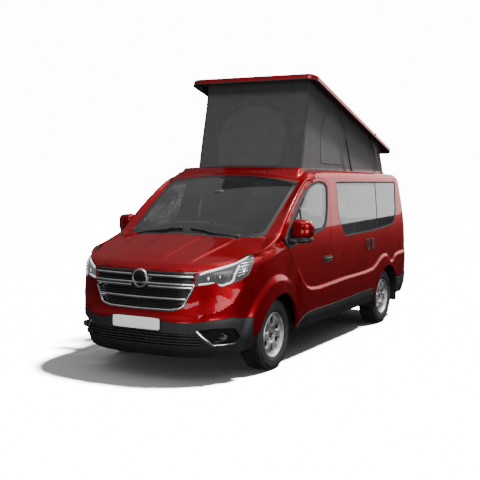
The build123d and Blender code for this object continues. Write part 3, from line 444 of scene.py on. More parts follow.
def skin_patch(shape: Shape, facing: "Facing | Callable", outline: Rows, holes: Sequence[Rows] = (),
               inset: float = -1.5, depth: float = 14.0, pitch: float = 18.0, edge_pitch: float | None = None,
               lip: float = 1.2) -> None:
    """Lay one flat outline on the body as a smooth skin with a turned-in edge.

    Args:
        shape: shape that the skin is added to.
        facing: direction that the outline is seen from, or a function that places flat points.
        outline: flat outline.
        holes: flat outlines cut out of it.
        inset: depth of the skin below the body surface.
        depth: how far the edge is turned in, or 0 for a bare edge.
        pitch: spacing of the points.
        edge_pitch: spacing of the points along the edge.
        lip: how far the turned edge stands out sideways.
    """
    lay = facing if callable(facing) else (lambda uv, deep: FORM.place(facing, uv, deep))
    loops = [divided(loop, edge_pitch or pitch) for loop in (outline, *holes)]
    low, high = loops[0].min(0), loops[0].max(0)
    u = np.arange(low[0] + pitch / 2, high[0], pitch)
    v = np.arange(low[1] + pitch / 2, high[1], pitch)
    grid = np.stack(np.meshgrid(u, v, indexing="ij"), -1).reshape(-1, 2)
    grid = grid[inside(grid, loops)]
    edge = np.concatenate(loops)
    keep = np.ones(len(grid), bool)
    for part in np.array_split(np.arange(len(edge)), max(1, len(edge) // 60)):
        gap = np.abs(grid[:, None, :] - edge[None, part, :]).max(2).min(1)
        keep &= gap > 0.45 * pitch
    flat = np.concatenate([edge, grid[keep]])
    runs, start = [], 0
    for loop in loops:
        runs += [(start + k, start + (k + 1) % len(loop)) for k in range(len(loop))]
        start += len(loop)
    verts, _, faces, origins, _, _ = delaunay_2d_cdt([Vector(p) for p in flat], runs, [], 0, 1e-5)
    verts = np.array([tuple(p) for p in verts])
    faces = np.array([f for f in faces if len(f) == 3])
    faces = faces[inside(verts[faces].mean(1), loops)]
    points, normals = lay(verts, inset)
    side = np.einsum("ij,ij->i", np.cross(points[faces[:, 1]] - points[faces[:, 0]],
                                          points[faces[:, 2]] - points[faces[:, 0]]), normals[faces[:, 0]])
    faces[side < 0] = faces[side < 0][:, ::-1]
    used = np.unique(faces)
    renumber = np.full(len(points), -1)
    renumber[used] = np.arange(len(used))
    shape.add(points[used], renumber[faces], [tuple(tuple(normals[i]) for i in f) for f in faces])
    if depth <= 0:
        return
    where = {}
    for k, sources in enumerate(origins):
        for source in sources:
            where[source] = k
    start = 0
    for loop in loops:
        ring = [where[start + k] for k in range(len(loop))]
        start += len(loop)
        p, n = points[ring], normals[ring]
        run = np.roll(p, -1, axis=0) - np.roll(p, 1, axis=0)
        run /= np.maximum(np.linalg.norm(run, axis=1), 1e-9)[:, None]
        out = np.cross(run, n)
        flat_run = np.roll(verts[ring], -1, axis=0) - np.roll(verts[ring], 1, axis=0)
        flat_out = np.stack([flat_run[:, 1], -flat_run[:, 0]], 1)
        flat_out /= np.maximum(np.linalg.norm(flat_out, axis=1), 1e-9)[:, None]
        probe = verts[ring] + flat_out * 1.5
        beyond = np.where(inside(probe, loops), -1.0, 1.0)
        test, _ = lay(probe, inset)
        flip = np.sum(beyond * np.einsum("ij,ij->i", test - p, out))
        out = out * (1.0 if flip > 0 else -1.0)
        first, second, third = p, p + out * lip - n * 1.4, p + out * lip - n * depth
        m = len(ring)
        faces_out, leans = [], []
        for k in range(m):
            j = (k + 1) % m
            faces_out += [(k, j, m + j, m + k), (m + k, m + j, 2 * m + j, 2 * m + k)]
            leans += [(tuple(n[k]), tuple(n[j]), tuple(out[j]), tuple(out[k])),
                      (tuple(out[k]), tuple(out[j]), tuple(out[j]), tuple(out[k]))]
        rim = np.concatenate([first, second, third])
        a, b, c = rim[faces_out[1][0]], rim[faces_out[1][1]], rim[faces_out[1][2]]
        if np.dot(np.cross(b - a, c - a), out[0]) < 0:
            faces_out = [f[::-1] for f in faces_out]
            leans = [lean[::-1] for lean in leans]
        shape.add(rim, faces_out, leans)


def bar_along(shape: Shape, points: np.ndarray, normals: np.ndarray, width: float, height: float,
              closed: bool = False, sink: float = 2.0, crown: float = 0.45) -> None:
    """Add a moulding with a crowned section along points on a surface.

    Args:
        shape: shape that the moulding is added to.
        points: places along the surface.
        normals: outward normals there.
        width: width of the moulding.
        height: how far it stands out.
        closed: whether it closes on itself.
        sink: depth of its foot below the surface.
        crown: share of the height that the crown takes.
    """
    if closed:
        run = np.roll(points, -1, axis=0) - np.roll(points, 1, axis=0)
    else:
        run = np.gradient(points, axis=0)
    run /= np.maximum(np.linalg.norm(run, axis=1), 1e-9)[:, None]
    across = np.cross(run, normals)
    across /= np.maximum(np.linalg.norm(across, axis=1), 1e-9)[:, None]
    shoulder = height * (1 - crown)
    section = [(-0.5, -sink), (-0.5, shoulder), (-0.36, height - height * crown * 0.35), (-0.14, height),
               (0.14, height), (0.36, height - height * crown * 0.35), (0.5, shoulder), (0.5, -sink)]
    rows = [[p + a * (s * width) + n * h for s, h in section] for p, a, n in zip(points, across, normals)]
    if closed:
        rows.append(rows[0])
    shape.grid([row for row in rows], around=True, capped=not closed)


def on_body(facing: Facing, path: Rows, pitch: float = 14.0, inset: float = 0.0,
            closed: bool = False) -> tuple[np.ndarray, np.ndarray]:
    """Points and normals along a flat path put on the body."""
    return FORM.place(facing, divided(path, pitch, closed), inset)


def turned(profile: Rows, steps: int = 96, closed: bool = False) -> list[list[tuple[float, float, float]]]:
    """Rows of points for a profile of (along, radius) turned about the X axis."""
    rows = []
    for a, r in list(profile) + ([profile[0]] if closed else []):
        rows.append([(a, r * math.sin(2 * math.pi * k / steps), r * math.cos(2 * math.pi * k / steps))
                     for k in range(steps)])
    return rows


def soft_block(shape: Shape, centre: Sequence[float], half: Sequence[float], power: float = 4.0,
               steps: int = 20, turn: Matrix | None = None, squeeze: Callable | None = None) -> None:
    """Add a rounded block with softly crowned faces.

    Args:
        shape: shape that the block is added to.
        centre: its middle.
        half: its half sizes.
        power: how square it is; 2 is an ellipsoid.
        steps: points along each edge of its faces.
        turn: turn applied about the middle.
        squeeze: change made to each unit point before it is sized.
    """
    turn = turn or Matrix.Identity(3)
    for axis in range(3):
        for way in (-1, 1):
            rows = []
            for i in range(steps + 1):
                row = []
                for j in range(steps + 1):
                    a, b = math.tan((2 * i / steps - 1) * math.pi / 4), math.tan((2 * j / steps - 1) * math.pi / 4)
                    q = [0.0, 0.0, 0.0]
                    q[axis], q[(axis + 1) % 3], q[(axis + 2) % 3] = way, a, b * way
                    size = sum(abs(c) ** power for c in q) ** (1 / power)
                    q = [c / size for c in q]
                    if squeeze:
                        q = squeeze(q)
                    row.append(tuple(Vector(centre) + turn @ Vector([c * h for c, h in zip(q, half)])))
                rows.append(row)
            shape.grid(rows)


def tube(shape: Shape, path: Sequence, radius: float | Sequence[float], steps: int = 14) -> None:
    """Add a closed round bar along points in space."""
    points = [Vector(p) for p in path]
    radii = [radius] * len(points) if isinstance(radius, (int, float)) else list(radius)
    side = None
    rows = []
    for i, p in enumerate(points):
        run = (points[min(i + 1, len(points) - 1)] - points[max(i - 1, 0)]).normalized()
        if side is None:
            side = run.cross(Vector((0, 0, 1)) if abs(run.z) < 0.9 else Vector((1, 0, 0))).normalized()
        side = (side - run * side.dot(run)).normalized()
        up = run.cross(side)
        rows.append([tuple(p + (side * math.cos(a) + up * math.sin(a)) * radii[i])
                     for a in (2 * math.pi * k / steps for k in range(steps))])
    shape.grid(rows, around=True, capped=True)


# ---------------------------------------------------------------- nodes


class NodeBoard:
    """Node tree with short ways to add and join nodes."""

    def __init__(self, tree: bpy.types.NodeTree) -> None:
        """Keep the tree, emptied."""
        self.tree = tree
        tree.nodes.clear()

    def add(self, kind: str, settings: dict | None = None, **values: object) -> bpy.types.Node:
        """Add a node.

        Args:
            kind: node type.
            settings: properties set on the node.
            values: sockets, with _ for a space, given a value or an output to join.

        Returns:
            The new node.
        """
        node = self.tree.nodes.new(kind)
        for key, value in (settings or {}).items():
            setattr(node, key, value)
        for key, value in values.items():
            self.feed(node.inputs[key.replace("_", " ")], value)
        return node

    def feed(self, socket: bpy.types.NodeSocket, value: object) -> None:
        """Join an output to a socket, or set the socket's value."""
        if isinstance(value, bpy.types.NodeSocket):
            self.tree.links.new(value, socket)
        else:
            socket.default_value = value

    def math(self, operation: str, first: object, second: object = 0.0) -> bpy.types.NodeSocket:
        """Output of a two-number sum."""
        node = self.add("ShaderNodeMath", {"operation": operation})
        self.feed(node.inputs[0], first)
        self.feed(node.inputs[1], second)
        return node.outputs[0]


class ShaderBoard(NodeBoard):
    """Material with one Principled shader."""

    def __init__(self, name: str) -> None:
        """Make the material, its shader and its output.

        Args:
            name: name of the material.
        """
        self.material = bpy.data.materials.new(name)
        self.material.use_nodes = True
        super().__init__(self.material.node_tree)
        self.shader = self.add("ShaderNodeBsdfPrincipled")
        end = self.add("ShaderNodeOutputMaterial")
        self.tree.links.new(self.shader.outputs[0], end.inputs[0])
        self.place = self.add("ShaderNodeTexCoord").outputs["Object"]

    def set(self, **values: object) -> None:
        """Set or join sockets of the shader."""
        for key, value in values.items():
            self.feed(self.shader.inputs[key.replace("_", " ")], value)

    def scaled(self, stretch: tuple[float, float, float]) -> bpy.types.NodeSocket:
        """Object place stretched along each axis."""
        return self.add("ShaderNodeMapping", Vector=self.place, Scale=stretch).outputs[0]

    def noise(self, scale: float, detail: float = 3.0, vector: object = None) -> bpy.types.NodeSocket:
        """Noise of the object's place."""
        return self.add("ShaderNodeTexNoise", Vector=vector or self.place, Scale=scale, Detail=detail).outputs[0]

    def ramp(self, fac: object, low: Sequence[float], high: Sequence[float],
             start: float = 0.3, end: float = 0.7) -> bpy.types.NodeSocket:
        """Colour that goes from low to high as fac goes from start to end."""
        node = self.add("ShaderNodeValToRGB", Fac=fac)
        node.color_ramp.elements[0].position = start
        node.color_ramp.elements[0].color = (*low, 1)
        node.color_ramp.elements[1].position = end
        node.color_ramp.elements[1].color = (*high, 1)
        return node.outputs[0]

    def span(self, fac: object, low: float, high: float) -> bpy.types.NodeSocket:
        """Number that goes from low to high as fac goes from 0.3 to 0.7."""
        node = self.add("ShaderNodeMapRange", Value=fac)
        for key, value in (("From Min", 0.3), ("From Max", 0.7), ("To Min", low), ("To Max", high)):
            node.inputs[key].default_value = value
        return node.outputs[0]

    def bump(self, height: object, strength: float, distance: float) -> None:
        """Join a bump to the shader's normal."""
        node = self.add("ShaderNodeBump", Height=height, Strength=strength, Distance=distance)
        self.set(Normal=node.outputs[0])


# ---------------------------------------------------------------- finishes


@dataclass(frozen=True)
class Paint:
    """Metallic lacquer under clear coat."""

    name: str
    light: tuple[float, float, float]
    dark: tuple[float, float, float]
    metallic: float = 0.75
    rough: float = 0.40
    coat: float = 0.42

    def material(self) -> bpy.types.Material:
        """Fine flakes, a slow cloud of tone and a faint skin ripple."""
        b = ShaderBoard(self.name)
        fleck = b.noise(1400, 1)
        cloud = b.noise(2.2, 2)
        b.set(Base_Color=b.ramp(b.math("ADD", b.math("MULTIPLY", fleck, 0.6), b.math("MULTIPLY", cloud, 0.4)),
                                self.dark, self.light))
        b.set(Metallic=self.metallic, Roughness=b.span(b.noise(5, 4), self.rough - 0.03, self.rough + 0.04))
        b.set(Coat_Weight=self.coat, Coat_Roughness=0.04, Coat_IOR=1.45, Specular_Tint=(1.0, 0.16, 0.20, 1))
        b.bump(b.noise(55, 2), 0.012, 0.002)
        return b.material


@dataclass(frozen=True)
class Plastic:
    """Moulded plastic with a grain."""

    name: str
    colour: tuple[float, float, float]
    rough: float = 0.55
    grain: float = 700.0
    depth: float = 0.12

    def material(self) -> bpy.types.Material:
        """Grained surface with slight fading."""
        b = ShaderBoard(self.name)
        worn = tuple(min(1.0, c * 1.35 + 0.004) for c in self.colour)
        b.set(Base_Color=b.ramp(b.noise(6, 5), self.colour, worn),
              Roughness=b.span(b.noise(18, 4), self.rough - 0.06, self.rough + 0.06))
        b.bump(b.add("ShaderNodeTexVoronoi", Vector=b.place, Scale=self.grain).outputs[0], self.depth, 0.0006)
        return b.material


@dataclass(frozen=True)
class Metal:
    """Bright, brushed or cast metal."""

    name: str
    colour: tuple[float, float, float]
    rough: float = 0.25
    brush: tuple[float, float, float] = (1.0, 1.0, 1.0)
    grain: float = 90.0

    def material(self) -> bpy.types.Material:
        """Metal with a varied gloss."""
        b = ShaderBoard(self.name)
        dull = tuple(c * 0.8 for c in self.colour)
        streak = b.noise(self.grain, 4, b.scaled(self.brush))
        b.set(Base_Color=b.ramp(b.noise(9, 4), dull, self.colour), Metallic=1.0,
              Roughness=b.span(streak, max(0.02, self.rough - 0.06), self.rough + 0.08))
        b.bump(streak, 0.04, 0.0005)
        return b.material


@dataclass(frozen=True)
class Glass:
    """Pane seen as a thin film; on the windows its near-opaque dark film is painted shade of the cabin behind, on the
    lamp lenses it is the lens's own colour.
    """

    name: str
    tint_and_shade: tuple[float, float, float]
    # share of the view hidden by the dark film; on the windows this film is painted shade of the cabin
    cover: float
    rough: float = 0.02

    def material(self) -> bpy.types.Material:
        """Pane with a faint film of dust over a dark film, more opaque toward edge-on views, which on the windows is
        painted shade.
        """
        b = ShaderBoard(self.name)
        film = b.noise(3.5, 5)
        edge = b.add("ShaderNodeLayerWeight", Blend=0.25).outputs["Facing"]
        b.set(Base_Color=b.ramp(film, self.tint_and_shade, tuple(c * 1.25 + 0.002 for c in self.tint_and_shade)),
              Roughness=b.span(film, self.rough, self.rough + 0.03), IOR=1.52,
              Alpha=b.math("MAXIMUM", b.math("MULTIPLY", edge, 0.9),
                           b.span(film, self.cover - 0.02, self.cover + 0.02)))
        return b.material


@dataclass(frozen=True)
class Woven:
    """Cloth woven from two sets of threads."""

    name: str
    warp: tuple[float, float, float]
    weft: tuple[float, float, float]
    threads: float = 520.0
    rough: float = 0.9
    sheen: float = 0.25

    def material(self) -> bpy.types.Material:
        """Over-and-under threads with uneven dye."""
        b = ShaderBoard(self.name)
        spot = b.add("ShaderNodeSeparateXYZ", Vector=b.place)
        lines = [b.math("SINE", b.math("MULTIPLY", b.math("ADD", spot.outputs[0], spot.outputs[1]), self.threads * 2)),
                 b.math("SINE", b.math("MULTIPLY", spot.outputs[2], self.threads * 2))]
        weave = b.math("MULTIPLY", lines[0], lines[1])
        lift = b.math("ADD", b.math("MULTIPLY", weave, 0.5), 0.5)
        dye = b.math("ADD", b.math("MULTIPLY", lift, 0.5), b.math("MULTIPLY", b.noise(14, 5), 0.5))
        b.set(Base_Color=b.ramp(dye, self.warp, self.weft), Roughness=self.rough, Sheen_Weight=self.sheen,
              Sheen_Roughness=0.5)
        b.bump(b.math("ADD", lift, b.math("MULTIPLY", b.noise(60, 4), 0.8)), 0.25, 0.0008)
        return b.material


@dataclass(frozen=True)
class Rubber:
    """Black rubber."""

    name: str
    colour: tuple[float, float, float] = (0.009, 0.009, 0.010)

    def material(self) -> bpy.types.Material:
        """Rubber with a dusty bloom."""
        b = ShaderBoard(self.name)
        dust = b.noise(11, 6)
        b.set(Base_Color=b.ramp(dust, self.colour, tuple(c * 1.9 + 0.004 for c in self.colour), 0.35, 0.75),
              Roughness=b.span(dust, 0.62, 0.82))
        b.bump(b.noise(420, 3), 0.1, 0.0006)
        return b.material


@dataclass(frozen=True)
class Board:
    """Laminated furniture board."""

    name: str
    light: tuple[float, float, float]
    dark: tuple[float, float, float]
    stretch: tuple[float, float, float] = (8.0, 1.0, 8.0)

    def material(self) -> bpy.types.Material:
        """Long faint grain under a satin film."""
        b = ShaderBoard(self.name)
        grain = b.noise(7, 6, b.scaled(self.stretch))
        b.set(Base_Color=b.ramp(grain, self.dark, self.light), Roughness=b.span(grain, 0.36, 0.48))
        b.bump(grain, 0.05, 0.0004)
        return b.material


@dataclass(frozen=True)
class Glow:
    """Lamp part that gives a little light of its own."""

    name: str
    colour: tuple[float, float, float]
    power: float = 0.6

    def material(self) -> bpy.types.Material:
        """Milky plastic with an even glow."""
        b = ShaderBoard(self.name)
        b.set(Base_Color=b.ramp(b.noise(40, 2), self.colour, tuple(c * 0.93 for c in self.colour)),
              Roughness=0.12, Coat_Weight=0.6, Emission_Strength=self.power, Emission_Color=(*self.colour, 1))
        b.bump(b.noise(300, 2), 0.03, 0.0004)
        return b.material


class Finishes(Enum):
    """Every finish on the van, each made once when it is first asked for."""

    PAINT = Paint("body_lacquer", (0.30, 0.002, 0.008), (0.17, 0.001, 0.004))
    ROOF_PAINT = Paint("roof_lacquer", (0.28, 0.002, 0.008), (0.16, 0.001, 0.004))
    TRIM = Plastic("grained_trim", (0.0085, 0.0085, 0.0095))
    TRIM_LIGHT = Plastic("worn_trim", (0.014, 0.0145, 0.015), 0.6)
    GLOSS = Plastic("gloss_black", (0.006, 0.006, 0.007), 0.16, 60, 0.01)
    SEAL = Rubber("window_seal", (0.008, 0.008, 0.009))
    TYRE = Rubber("tyre_rubber")
    CHROME = Metal("bright_chrome", (0.85, 0.86, 0.88), 0.2)
    SATIN = Metal("satin_bar", (0.75, 0.75, 0.77), 0.36)
    ALLOY = Metal("wheel_silver", (0.66, 0.66, 0.68), 0.42)
    STEEL = Metal("bare_steel", (0.46, 0.46, 0.48), 0.3, (1, 1, 14), 40)
    IRON = Metal("coated_iron", (0.06, 0.06, 0.065), 0.55)
    CAST = Metal("cast_engine", (0.2, 0.2, 0.21), 0.5)
    MIRROR = Metal("mirror_glass", (0.86, 0.87, 0.88), 0.03)
    # window glasses: near-opaque dark films that paint the shade of the cabin behind them; the rear dark pane is also
    # really tinted
    SCREEN = Glass("windscreen_glass", (0.012, 0.0125, 0.013), 0.994)
    PANE = Glass("clear_pane", (0.022, 0.024, 0.025), 0.82)
    DARK_PANE = Glass("tinted_and_shaded_pane", (0.010, 0.011, 0.012), 0.955)
    LENS = Glass("lamp_lens", (0.6, 0.62, 0.65), 0.10, 0.01)
    RED_LENS = Glass("tail_lens", (0.30, 0.004, 0.006), 0.82, 0.06)
    GUIDE = Glow("light_guide", (0.92, 0.94, 0.97), 0.55)
    AMBER = Glow("turn_lamp", (0.9, 0.30, 0.03), 0.05)
    CANVAS = Woven("tent_canvas", (0.034, 0.034, 0.036), (0.050, 0.050, 0.053), 700, 0.9, 0.08)
    CANVAS_LIGHT = Woven("tent_window", (0.039, 0.040, 0.042), (0.056, 0.057, 0.060), 900, 0.85, 0.08)
    WEBBING = Woven("tent_tape", (0.02, 0.02, 0.021), (0.034, 0.034, 0.036), 900)
    CLOTH = Woven("seat_cloth", (0.045, 0.046, 0.05), (0.10, 0.10, 0.11), 800)
    CURTAIN = Woven("blind_cloth", (0.50, 0.50, 0.48), (0.62, 0.62, 0.60), 700, 0.85)
    LINING = Plastic("pale_lining", (0.46, 0.47, 0.46), 0.7, 500, 0.05)
    CABIN = Plastic("cabin_plastic", (0.03, 0.03, 0.032), 0.62)
    OAK = Board("cabinet_board", (0.50, 0.49, 0.46), (0.40, 0.39, 0.37))
    TOP = Board("worktop_board", (0.10, 0.10, 0.10), (0.06, 0.06, 0.06))
    PLATE = Plastic("number_plate", (0.93, 0.93, 0.93), 0.35, 300, 0.02)

    def material(self) -> bpy.types.Material:
        """The finish's material."""
        return bpy.data.materials.get(self.value.name) or self.value.material()


# ---------------------------------------------------------------- repeated pieces


class Repeat:
    """Geometry node trees that repeat a small piece round an axle or along a path."""

    def __init__(self) -> None:
        """Make both trees."""
        self.ring = self._ring_tree()
        self.run = self._run_tree()

    def _tree(self, name: str, inputs: Sequence[tuple[str, str, object]]) -> tuple[NodeBoard, bpy.types.Node]:
        """Empty tree with named inputs.

        Args:
            name: name of the tree.
            inputs: name, socket type and usual value of each input.

        Returns:
            The board and its group input node.
        """
        tree = bpy.data.node_groups.new(name, "GeometryNodeTree")
        tree.interface.new_socket(name="Geometry", in_out="OUTPUT", socket_type="NodeSocketGeometry")
        tree.interface.new_socket(name="Geometry", in_out="INPUT", socket_type="NodeSocketGeometry")
        for label, kind, usual in inputs:
            socket = tree.interface.new_socket(name=label, in_out="INPUT", socket_type=kind)
            if usual is not None:
                socket.default_value = usual
        board = NodeBoard(tree)
        return board, board.add("NodeGroupInput")

    def _close(self, board: NodeBoard, geometry: bpy.types.NodeSocket, finish: bpy.types.NodeSocket) -> None:
        """End a tree in real geometry with a material."""
        real = board.add("GeometryNodeRealizeInstances", Geometry=geometry)
        done = board.add("GeometryNodeSetMaterial", Geometry=real.outputs[0], Material=finish)
        board.add("NodeGroupOutput", Geometry=done.outputs[0])

    def _ring_tree(self) -> bpy.types.NodeTree:
        """Tree that turns copies about the X axis and moves them to a centre."""
        board, start = self._tree("repeat_round_axle", [
            ("Count", "NodeSocketInt", 6), ("First Turn", "NodeSocketFloat", 0.0), ("Centre", "NodeSocketVector", None),
            ("Finish", "NodeSocketMaterial", None)])
        line = board.add("GeometryNodeMeshLine", Count=start.outputs["Count"], Offset=(0, 0, 0))
        index = board.add("GeometryNodeInputIndex").outputs[0]
        step = board.math("DIVIDE", 2 * math.pi, start.outputs["Count"])
        turn = board.math("ADD", board.math("MULTIPLY", index, step), start.outputs["First Turn"])
        spin = board.add("ShaderNodeCombineXYZ", X=turn)
        copies = board.add("GeometryNodeInstanceOnPoints", Points=line.outputs[0], Instance=start.outputs[0],
                           Rotation=spin.outputs[0])
        moved = board.add("GeometryNodeTransform", Geometry=copies.outputs[0], Translation=start.outputs["Centre"])
        self._close(board, moved.outputs[0], start.outputs["Finish"])
        return board.tree

    def _run_tree(self) -> bpy.types.NodeTree:
        """Tree that sets small blocks along a path, standing on the surface it follows."""
        board, start = self._tree("repeat_along_path", [
            ("Pitch", "NodeSocketFloat", 0.02), ("Size", "NodeSocketVector", None),
            ("Finish", "NodeSocketMaterial", None)])
        curve = board.add("GeometryNodeMeshToCurve", Mesh=start.outputs[0])
        even = board.add("GeometryNodeResampleCurve", Curve=curve.outputs[0])
        if hasattr(even, "mode"):
            even.mode = "LENGTH"
        board.feed(even.inputs["Length"], start.outputs["Pitch"])
        points = board.add("GeometryNodeCurveToPoints", {"mode": "EVALUATED"}, Curve=even.outputs[0])
        lean = board.add("GeometryNodeInputNamedAttribute", {"data_type": "FLOAT_VECTOR"}, Name="lean").outputs[0]
        first = board.add("FunctionNodeAlignEulerToVector", {"axis": "X"}, Vector=points.outputs["Tangent"])
        both = board.add("FunctionNodeAlignEulerToVector", {"axis": "Z", "pivot_axis": "X"},
                         Rotation=first.outputs[0], Vector=lean)
        block = board.add("GeometryNodeMeshCube", Size=start.outputs["Size"])
        copies = board.add("GeometryNodeInstanceOnPoints", Points=points.outputs[0], Instance=block.outputs[0],
                           Rotation=both.outputs[0])
        self._close(board, copies.outputs[0], start.outputs["Finish"])
        return board.tree

    def apply(self, piece: bpy.types.Object, tree: bpy.types.NodeTree, values: dict[str, object]) -> bpy.types.Object:
        """Run a tree on a piece and turn the result into a plain mesh.

        Args:
            piece: object whose mesh goes in.
            tree: tree to run.
            values: named inputs.

        Returns:
            The same object with the made mesh.
        """
        modifier = piece.modifiers.new("repeat", "NODES")
        modifier.node_group = tree
        for item in tree.interface.items_tree:
            if item.item_type == "SOCKET" and item.in_out == "INPUT" and item.name in values:
                modifier[item.identifier] = values[item.name]
        view = bpy.context.evaluated_depsgraph_get()
        view.update()
        made = bpy.data.meshes.new_from_object(piece.evaluated_get(view), depsgraph=view)
        piece.modifiers.remove(modifier)
        piece.data = made
        return piece

    def along(self, name: str, points: np.ndarray, normals: np.ndarray, pitch: float, size: Sequence[float],
              finish: Finishes) -> bpy.types.Object:
        """Small blocks every pitch millimetres along points on a surface."""
        mesh = bpy.data.meshes.new(name)
        mesh.from_pydata([tuple(p * MM) for p in points], [(k, k + 1) for k in range(len(points) - 1)], [])
        lean = mesh.attributes.new("lean", "FLOAT_VECTOR", "POINT")
        lean.data.foreach_set("vector", np.asarray(normals, np.float32).ravel())
        piece = bpy.data.objects.new(name, mesh)
        bpy.context.scene.collection.objects.link(piece)
        return self.apply(piece, self.run, {"Pitch": pitch * MM, "Size": tuple(s * MM for s in size),
                                            "Finish": finish.material()})


REPEAT = Repeat()


def fit(piece: bpy.types.Object, body: str, finish: Finishes, *nodes: str) -> bpy.types.Object:
    """Dress a piece and set it on its body.

    Args:
        piece: finished object.
        body: body that it rides on.
        finish: its finish.
        nodes: plain nodes that it stands for.

    Returns:
        The same object.
    """
    if not piece.data.materials:
        piece.data.materials.append(finish.material())
    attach(piece, body)
    if nodes:
        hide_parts(*nodes)
    log.info("%s on %s, %d faces", piece.name, body, len(piece.data.polygons))
    return piece


def redress(node: str, finish: Finishes) -> None:
    """Give a plain node that keeps its shape its finish."""
    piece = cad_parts[node]
    piece.data.materials.clear()
    piece.data.materials.append(finish.material())
    log.info("%s dressed in %s", node, finish.value.name)


# ---------------------------------------------------------------- body skins


@dataclass
class CabDoors:
    """Cab doors: outer skins, window seals, panes, handles and door linings."""

    outline: tuple = ((-1120, 500), (-1165, 700), (-1225, 900), (-1290, 1050), (-1352, 1165), (-1440, 1290),
                      (-1330, 1400), (-1228, 1485), (-1075, 1600), (-908, 1715), (-800, 1778), (-700, 1822),
                      (-575, 1850), (-437, 1860), (-275, 1846), (-190, 1800), (-200, 1657), (-235, 1516),
                      (-262, 1378), (-285, 1275), (-300, 1180), (-312, 1091), (-328, 950), (-336, 751), (-345, 500))
    window: tuple = ((-1392, 1286), (-1305, 1362), (-1201, 1447), (-1050, 1559), (-884, 1675), (-780, 1734),
                     (-684, 1780), (-568, 1812), (-437, 1825), (-300, 1812), (-235, 1765), (-262, 1657),
                     (-308, 1516), (-372, 1385), (-461, 1313), (-639, 1293), (-1335, 1172), (-1400, 1228))
    gap: float = 7.0
    seal: float = 24.0
    divider: tuple = ((-1010, 1240), (-1000, 1590))
    handle: tuple = (-500.0, -262.0, 958.0, 1026.0)

    def shrunk(self, loop: Rows, by: float) -> list[tuple[float, float]]:
        """Outline moved inwards by a distance.

        Args:
            loop: closed outline.
            by: distance inwards.

        Returns:
            The moved outline.
        """
        points = np.array(loop, float)
        area = np.sum(points[:, 0] * np.roll(points[:, 1], -1) - np.roll(points[:, 0], -1) * points[:, 1])
        run_in, run_out = points - np.roll(points, 1, axis=0), np.roll(points, -1, axis=0) - points
        run_in /= np.linalg.norm(run_in, axis=1)[:, None]
        run_out /= np.linalg.norm(run_out, axis=1)[:, None]
        mean = run_in + run_out
        mean /= np.linalg.norm(mean, axis=1)[:, None]
        side = np.stack([-mean[:, 1], mean[:, 0]], 1) * (1 if area > 0 else -1)
        widen = 1 / np.maximum(np.abs(np.einsum("ij,ij->i", run_in, mean)), 0.6)
        return [tuple(p) for p in points + side * by * widen[:, None]]

    def build(self, side: Side) -> None:
        """Make one door and all that rides on it.

        Args:
            side: side of the van.
        """
        word = side.name.lower()
        body, facing = f"door_{word}", Facing[side.name]
        skin = Shape()
        window = rounded(self.window, 26)
        skin_patch(skin, facing, rounded(self.shrunk(self.outline, self.gap), 14), [window], depth=20, pitch=14,
                   edge_pitch=6)
        fit(skin.mesh(f"door_skin_{word}"), body, Finishes.PAINT)
        border = Shape()
        inner = rounded(self.shrunk(self.window, self.seal), 30)
        skin_patch(border, facing, window, [inner], inset=-1.2, depth=8, pitch=9, edge_pitch=6, lip=-0.5)
        points, normals = on_body(facing, window, 14, 1.0, True)
        bar_along(border, points, normals, 11, 5, True)
        points, normals = on_body(facing, self.divider, 14, 4.0)
        bar_along(border, points, normals, 26, 5)
        fit(border.mesh(f"door_window_seal_{word}"), body, Finishes.SEAL)
        pane = Shape()
        skin_patch(pane, facing, rounded(self.shrunk(self.window, self.seal - 8), 26), inset=6.0, depth=0, pitch=30)
        fit(pane.mesh(f"door_pane_{word}"), body, Finishes.PANE, f"door_glass_{word}")
        self.grip(side, body)
        self.card(side, body)

    def grip(self, side: Side, body: str) -> None:
        """Pull handle over a scooped cup, with a lock barrel.

        Args:
            side: side of the van.
            body: body that the handle rides on.
        """
        y0, y1, z0, z1 = self.handle
        facing = Facing[side.name]
        cup = Shape()
        skin_patch(cup, facing, rounded([(y0, z0), (y1, z0), (y1, z1), (y0, z1)], 32, 6), inset=-3.5, depth=8, pitch=9)
        fit(cup.mesh(f"handle_cup_{side.name.lower()}"), body, Finishes.TRIM)
        bar = Shape()
        path = [(y0 + 18, (z0 + z1) / 2 + 6), (y1 - 52, (z0 + z1) / 2 + 8)]
        points, normals = on_body(facing, path, 8, -12)
        rise = np.sin(np.linspace(0, math.pi, len(points))) ** 0.6
        points = points + normals * (rise * 14)[:, None]
        bar_along(bar, points, normals, 26, 11, sink=5, crown=0.7)
        points, normals = FORM.place(facing, np.array([(y1 - 24, (z0 + z1) / 2 + 6)]), -4)
        soft_block(bar, points[0], (5, 12, 12), 3, 8)
        fit(bar.mesh(f"handle_bar_{side.name.lower()}"), body, Finishes.TRIM_LIGHT)

    def card(self, side: Side, body: str) -> None:
        """Door lining with an armrest and a pocket, seen when the door is open."""
        s = side.value
        lining = Shape()
        for y0, y1, z0, z1, x, bulge in ((-1080, -370, 560, 1150, 884, 7), (-1000, -420, 900, 960, 866, 12),
                                         (-1060, -420, 590, 760, 874, 10)):
            soft_block(lining, (s * x, (y0 + y1) / 2, (z0 + z1) / 2), (bulge, (y1 - y0) / 2, (z1 - z0) / 2), 7, 12)
        fit(lining.mesh(f"door_card_{side.name.lower()}", tidy=True), body, Finishes.CABIN)


